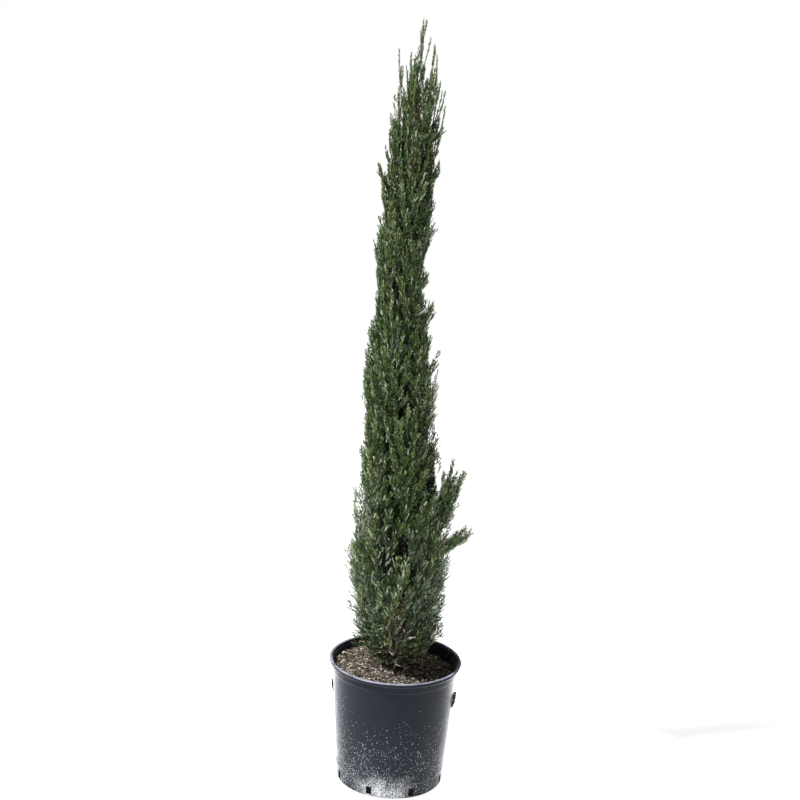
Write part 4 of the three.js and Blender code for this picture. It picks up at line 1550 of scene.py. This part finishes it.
def makeChips():  # flat crumbs of wood with six corners
    count = litter["chips"]
    places, directions = scatter(count, litter["chipLift"])
    lengths = dice.uniform(*litter["chipLength"], count)[:, None]
    sideways = unit(np.cross(directions, up) + dice.normal(0, 0.2, places.shape))
    thin = np.cross(directions, sideways)
    wide = lengths * dice.uniform(*litter["chipWidth"], (count, 1))
    flat = lengths * dice.uniform(*litter["chipHeight"], (count, 1))
    corners = [directions * lengths / 2, sideways * wide / 2, -directions * lengths / 2, -sideways * wide / 2]
    corners = [corner + dice.normal(0, litter["chipCorners"], places.shape) for corner in corners]
    return np.stack([places + corner for corner in corners + [thin * flat / 2, -thin * flat / 2]], axis=1)


def addLitter():
    pieces = []
    chips = makeChips()
    chipPattern = [[4, 0, 1], [4, 1, 2], [4, 2, 3], [4, 3, 0], [5, 1, 0], [5, 2, 1], [5, 3, 2], [5, 0, 3]]
    places, directions = scatter(litter["straws"], litter["strawLift"])
    lengths = dice.uniform(*litter["strawLength"], litter["straws"])[:, None]
    bends = places + dice.normal(0, 1, places.shape) * lengths * litter["strawBend"]
    colors, chipShares, strawShares = zip(*litterColors.values())
    chipColors = dice.choice(len(colors), litter["chips"], p=chipShares)
    strawColors = dice.choice(len(colors), litter["straws"], p=strawShares)
    for index, name in enumerate(litterColors):
        mine = strawColors == index
        reach = directions[mine] * lengths[mine] / 2
        radii = litter["strawRadius"] * dice.uniform(*litter["strawSpread"], mine.sum())
        lying = straws(bends[mine] - reach, places[mine], bends[mine] + reach, radii, radii * 9)
        meshes = [repeatFaces(chips[chipColors == index], chipPattern), lying]
        material = soilMaterial("litter_" + name, colors[index], litter["patches"])
        pieces.append(addMesh("litter_" + name, *joinMeshes(meshes), material))
    return pieces


soilPiece = addSoil()
litterPieces = addLitter()


# Dead twigs round the foot of the trunk

deadTwig = {
    "count": 190,
    "floor": 348,
    "hostsBelow": 640,
    "onHost": 0.55,  # they start up to this share along a spray
    "length": (18, 60),
    "rise": (-0.35, 1.1),
    "aside": 0.5,  # how far they lean off the straight way out
    "swerve": 0.35,
    "lift": 0.15,
    "radius": 1.15,
    "spread": (0.7, 1.3),
    "tipShare": 0.4,
    "sideTwigs": ((0.4, 0.8), (0.65, -0.8)),  # how far along, and to which side
    "sideLift": 0.3,
    "sideLength": 0.35,
    "sideRadii": (0.6, 0.3),
    "steps": 6,
    "color": (0.50, 0.44, 0.35),
    "patches": (90, 0.4),
}


def addDeadTwigs():
    paths, radii = [], []
    steps = deadTwig["steps"]
    hosts = [one for one in sprays if one["tip"][2] < deadTwig["hostsBelow"]]
    hosts.sort(key=lambda one: one["root"][2])
    for index in range(deadTwig["count"]):
        host = hosts[int(chance(index, 2) ** 1.4 * len(hosts))]
        share = deadTwig["onHost"] * chance(index, 4)
        root = sprayPoint(host["root"], host["tip"], host["outward"], host["bow"], share)
        length = mix(*deadTwig["length"], chance(index, 3) ** 1.5)
        rise = mix(*deadTwig["rise"], chance(index, 6))
        aside = towards(index * goldenAngle) * deadTwig["aside"]
        direction = unit(unit(root - trunkAt(root[2])) + aside + up * rise)
        sideways = unit(np.cross(direction, up))
        swerve = sideways * deadTwig["swerve"] * mix(-1, 1, chance(index, 7)) + up * deadTwig["lift"]
        path = bezier(root, root + direction * length * 0.5, root + (direction + swerve) * length, steps)
        path[:, 2] = np.maximum(path[:, 2], deadTwig["floor"])
        paths.append(path)
        thick = deadTwig["radius"] * mix(*deadTwig["spread"], chance(index, 8))
        radii.append(np.linspace(1, deadTwig["tipShare"], steps) * thick)
        for share, lean in deadTwig["sideTwigs"]:
            start = path[int(share * steps)]
            turn = unit(direction + sideways * lean + up * deadTwig["sideLift"])
            end = start + turn * length * deadTwig["sideLength"] + up * 4
            paths.append(bezier(start, start + turn * length * 0.15, end, steps))
            radii.append(np.linspace(*deadTwig["sideRadii"], steps) * deadTwig["radius"])
    material = newMaterial("dead_twig", Roughness=0.85)[0]
    addMottle(material, deadTwig["color"], *deadTwig["patches"])
    return addMesh("dead_twigs", *tubes(np.array(paths), np.array(radii), 3), material)


deadPiece = addDeadTwigs()
print("pot and soil dressed")


# Stage: floor, world and lights

studio = {
    "floorSize": 6000,  # to each side
    "floorLevel": -0.5,
    "floorColor": (0.25, 0.25, 0.25),
    "floorGlow": 0.85,
    "skyOnThings": 0.21,
    "sunStrength": 6.2,
    "sunSoftness": 4,
    "sunFrom": (-1.25, -0.45, 1.75),
    "rimPower": (17, 26),
    "rimSize": (0.9, 0.34),
    "rimFrom": ((-0.55, 0.68, 0.18), (0.55, 0.68, 0.18)),  # low lights behind both sides, for the pot's gloss
}


def addLamp(name, kind, power, towardsLight, place=(0, 0, 0)):
    light = bpy.data.lights.new(name, kind)
    light.energy = power
    lamp = bpy.data.objects.new(name, light)
    bpy.context.scene.collection.objects.link(lamp)
    lamp.location = place
    lamp.rotation_euler = Vector(towardsLight).to_track_quat("Z", "Y").to_euler()
    return lamp


def addStage():
    floorMaterial = newMaterial("floor", Base_Color=(*studio["floorColor"], 1), Roughness=0.8,
                                Emission_Color=(1, 1, 1, 1), Emission_Strength=studio["floorGlow"])[0]
    corners = np.array([(-1, -1), (1, -1), (1, 1), (-1, 1)]) * studio["floorSize"]
    corners = np.c_[corners, np.full(4, studio["floorLevel"])]
    addMesh("floor", corners, np.array([[0, 1, 2, 3]]), floorMaterial)
    world = bpy.data.worlds.new("studio")
    bpy.context.scene.world = world
    world.use_nodes = True
    tree = world.node_tree
    background = tree.nodes["Background"]
    background.inputs["Color"].default_value = (1, 1, 1, 1)
    path = tree.nodes.new("ShaderNodeLightPath")
    strength = ramp(tree, path.outputs["Is Camera Ray"], 0, 1, studio["skyOnThings"], 1.0)
    tree.links.new(strength, background.inputs["Strength"])
    sun = addLamp("key", "SUN", studio["sunStrength"], studio["sunFrom"])
    sun.data.angle = math.radians(studio["sunSoftness"])
    for place, power in zip(studio["rimFrom"], studio["rimPower"]):
        rim = addLamp("rim", "AREA", power, (*place[:2], 0), place)
        rim.data.shape = "RECTANGLE"
        rim.data.size, rim.data.size_y = studio["rimSize"]
        rim.visible_camera = False
    bpy.context.scene.view_settings.view_transform = "Standard"


addStage()


# What each piece stands for

massNodes = [f"foliage_{one['index'] + 1:02d}" for one in masses]
boughNodes = [f"bough_{one['index'] + 1:02d}" for one in masses if one["hasBough"]]
for piece in leafPieces + [twigPiece, deadPiece]:
    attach(piece, "root")
    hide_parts(*massNodes, "leader_shoot")
for piece, slot, nodes in (
    (barkPiece, "bark", ["trunk", *boughNodes]),
    (potPiece, "pot", ["pot"]),
    *((piece, "soil", ["potting_soil"]) for piece in [soilPiece, *litterPieces]),
):
    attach(piece, "root")
    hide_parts(*nodes)
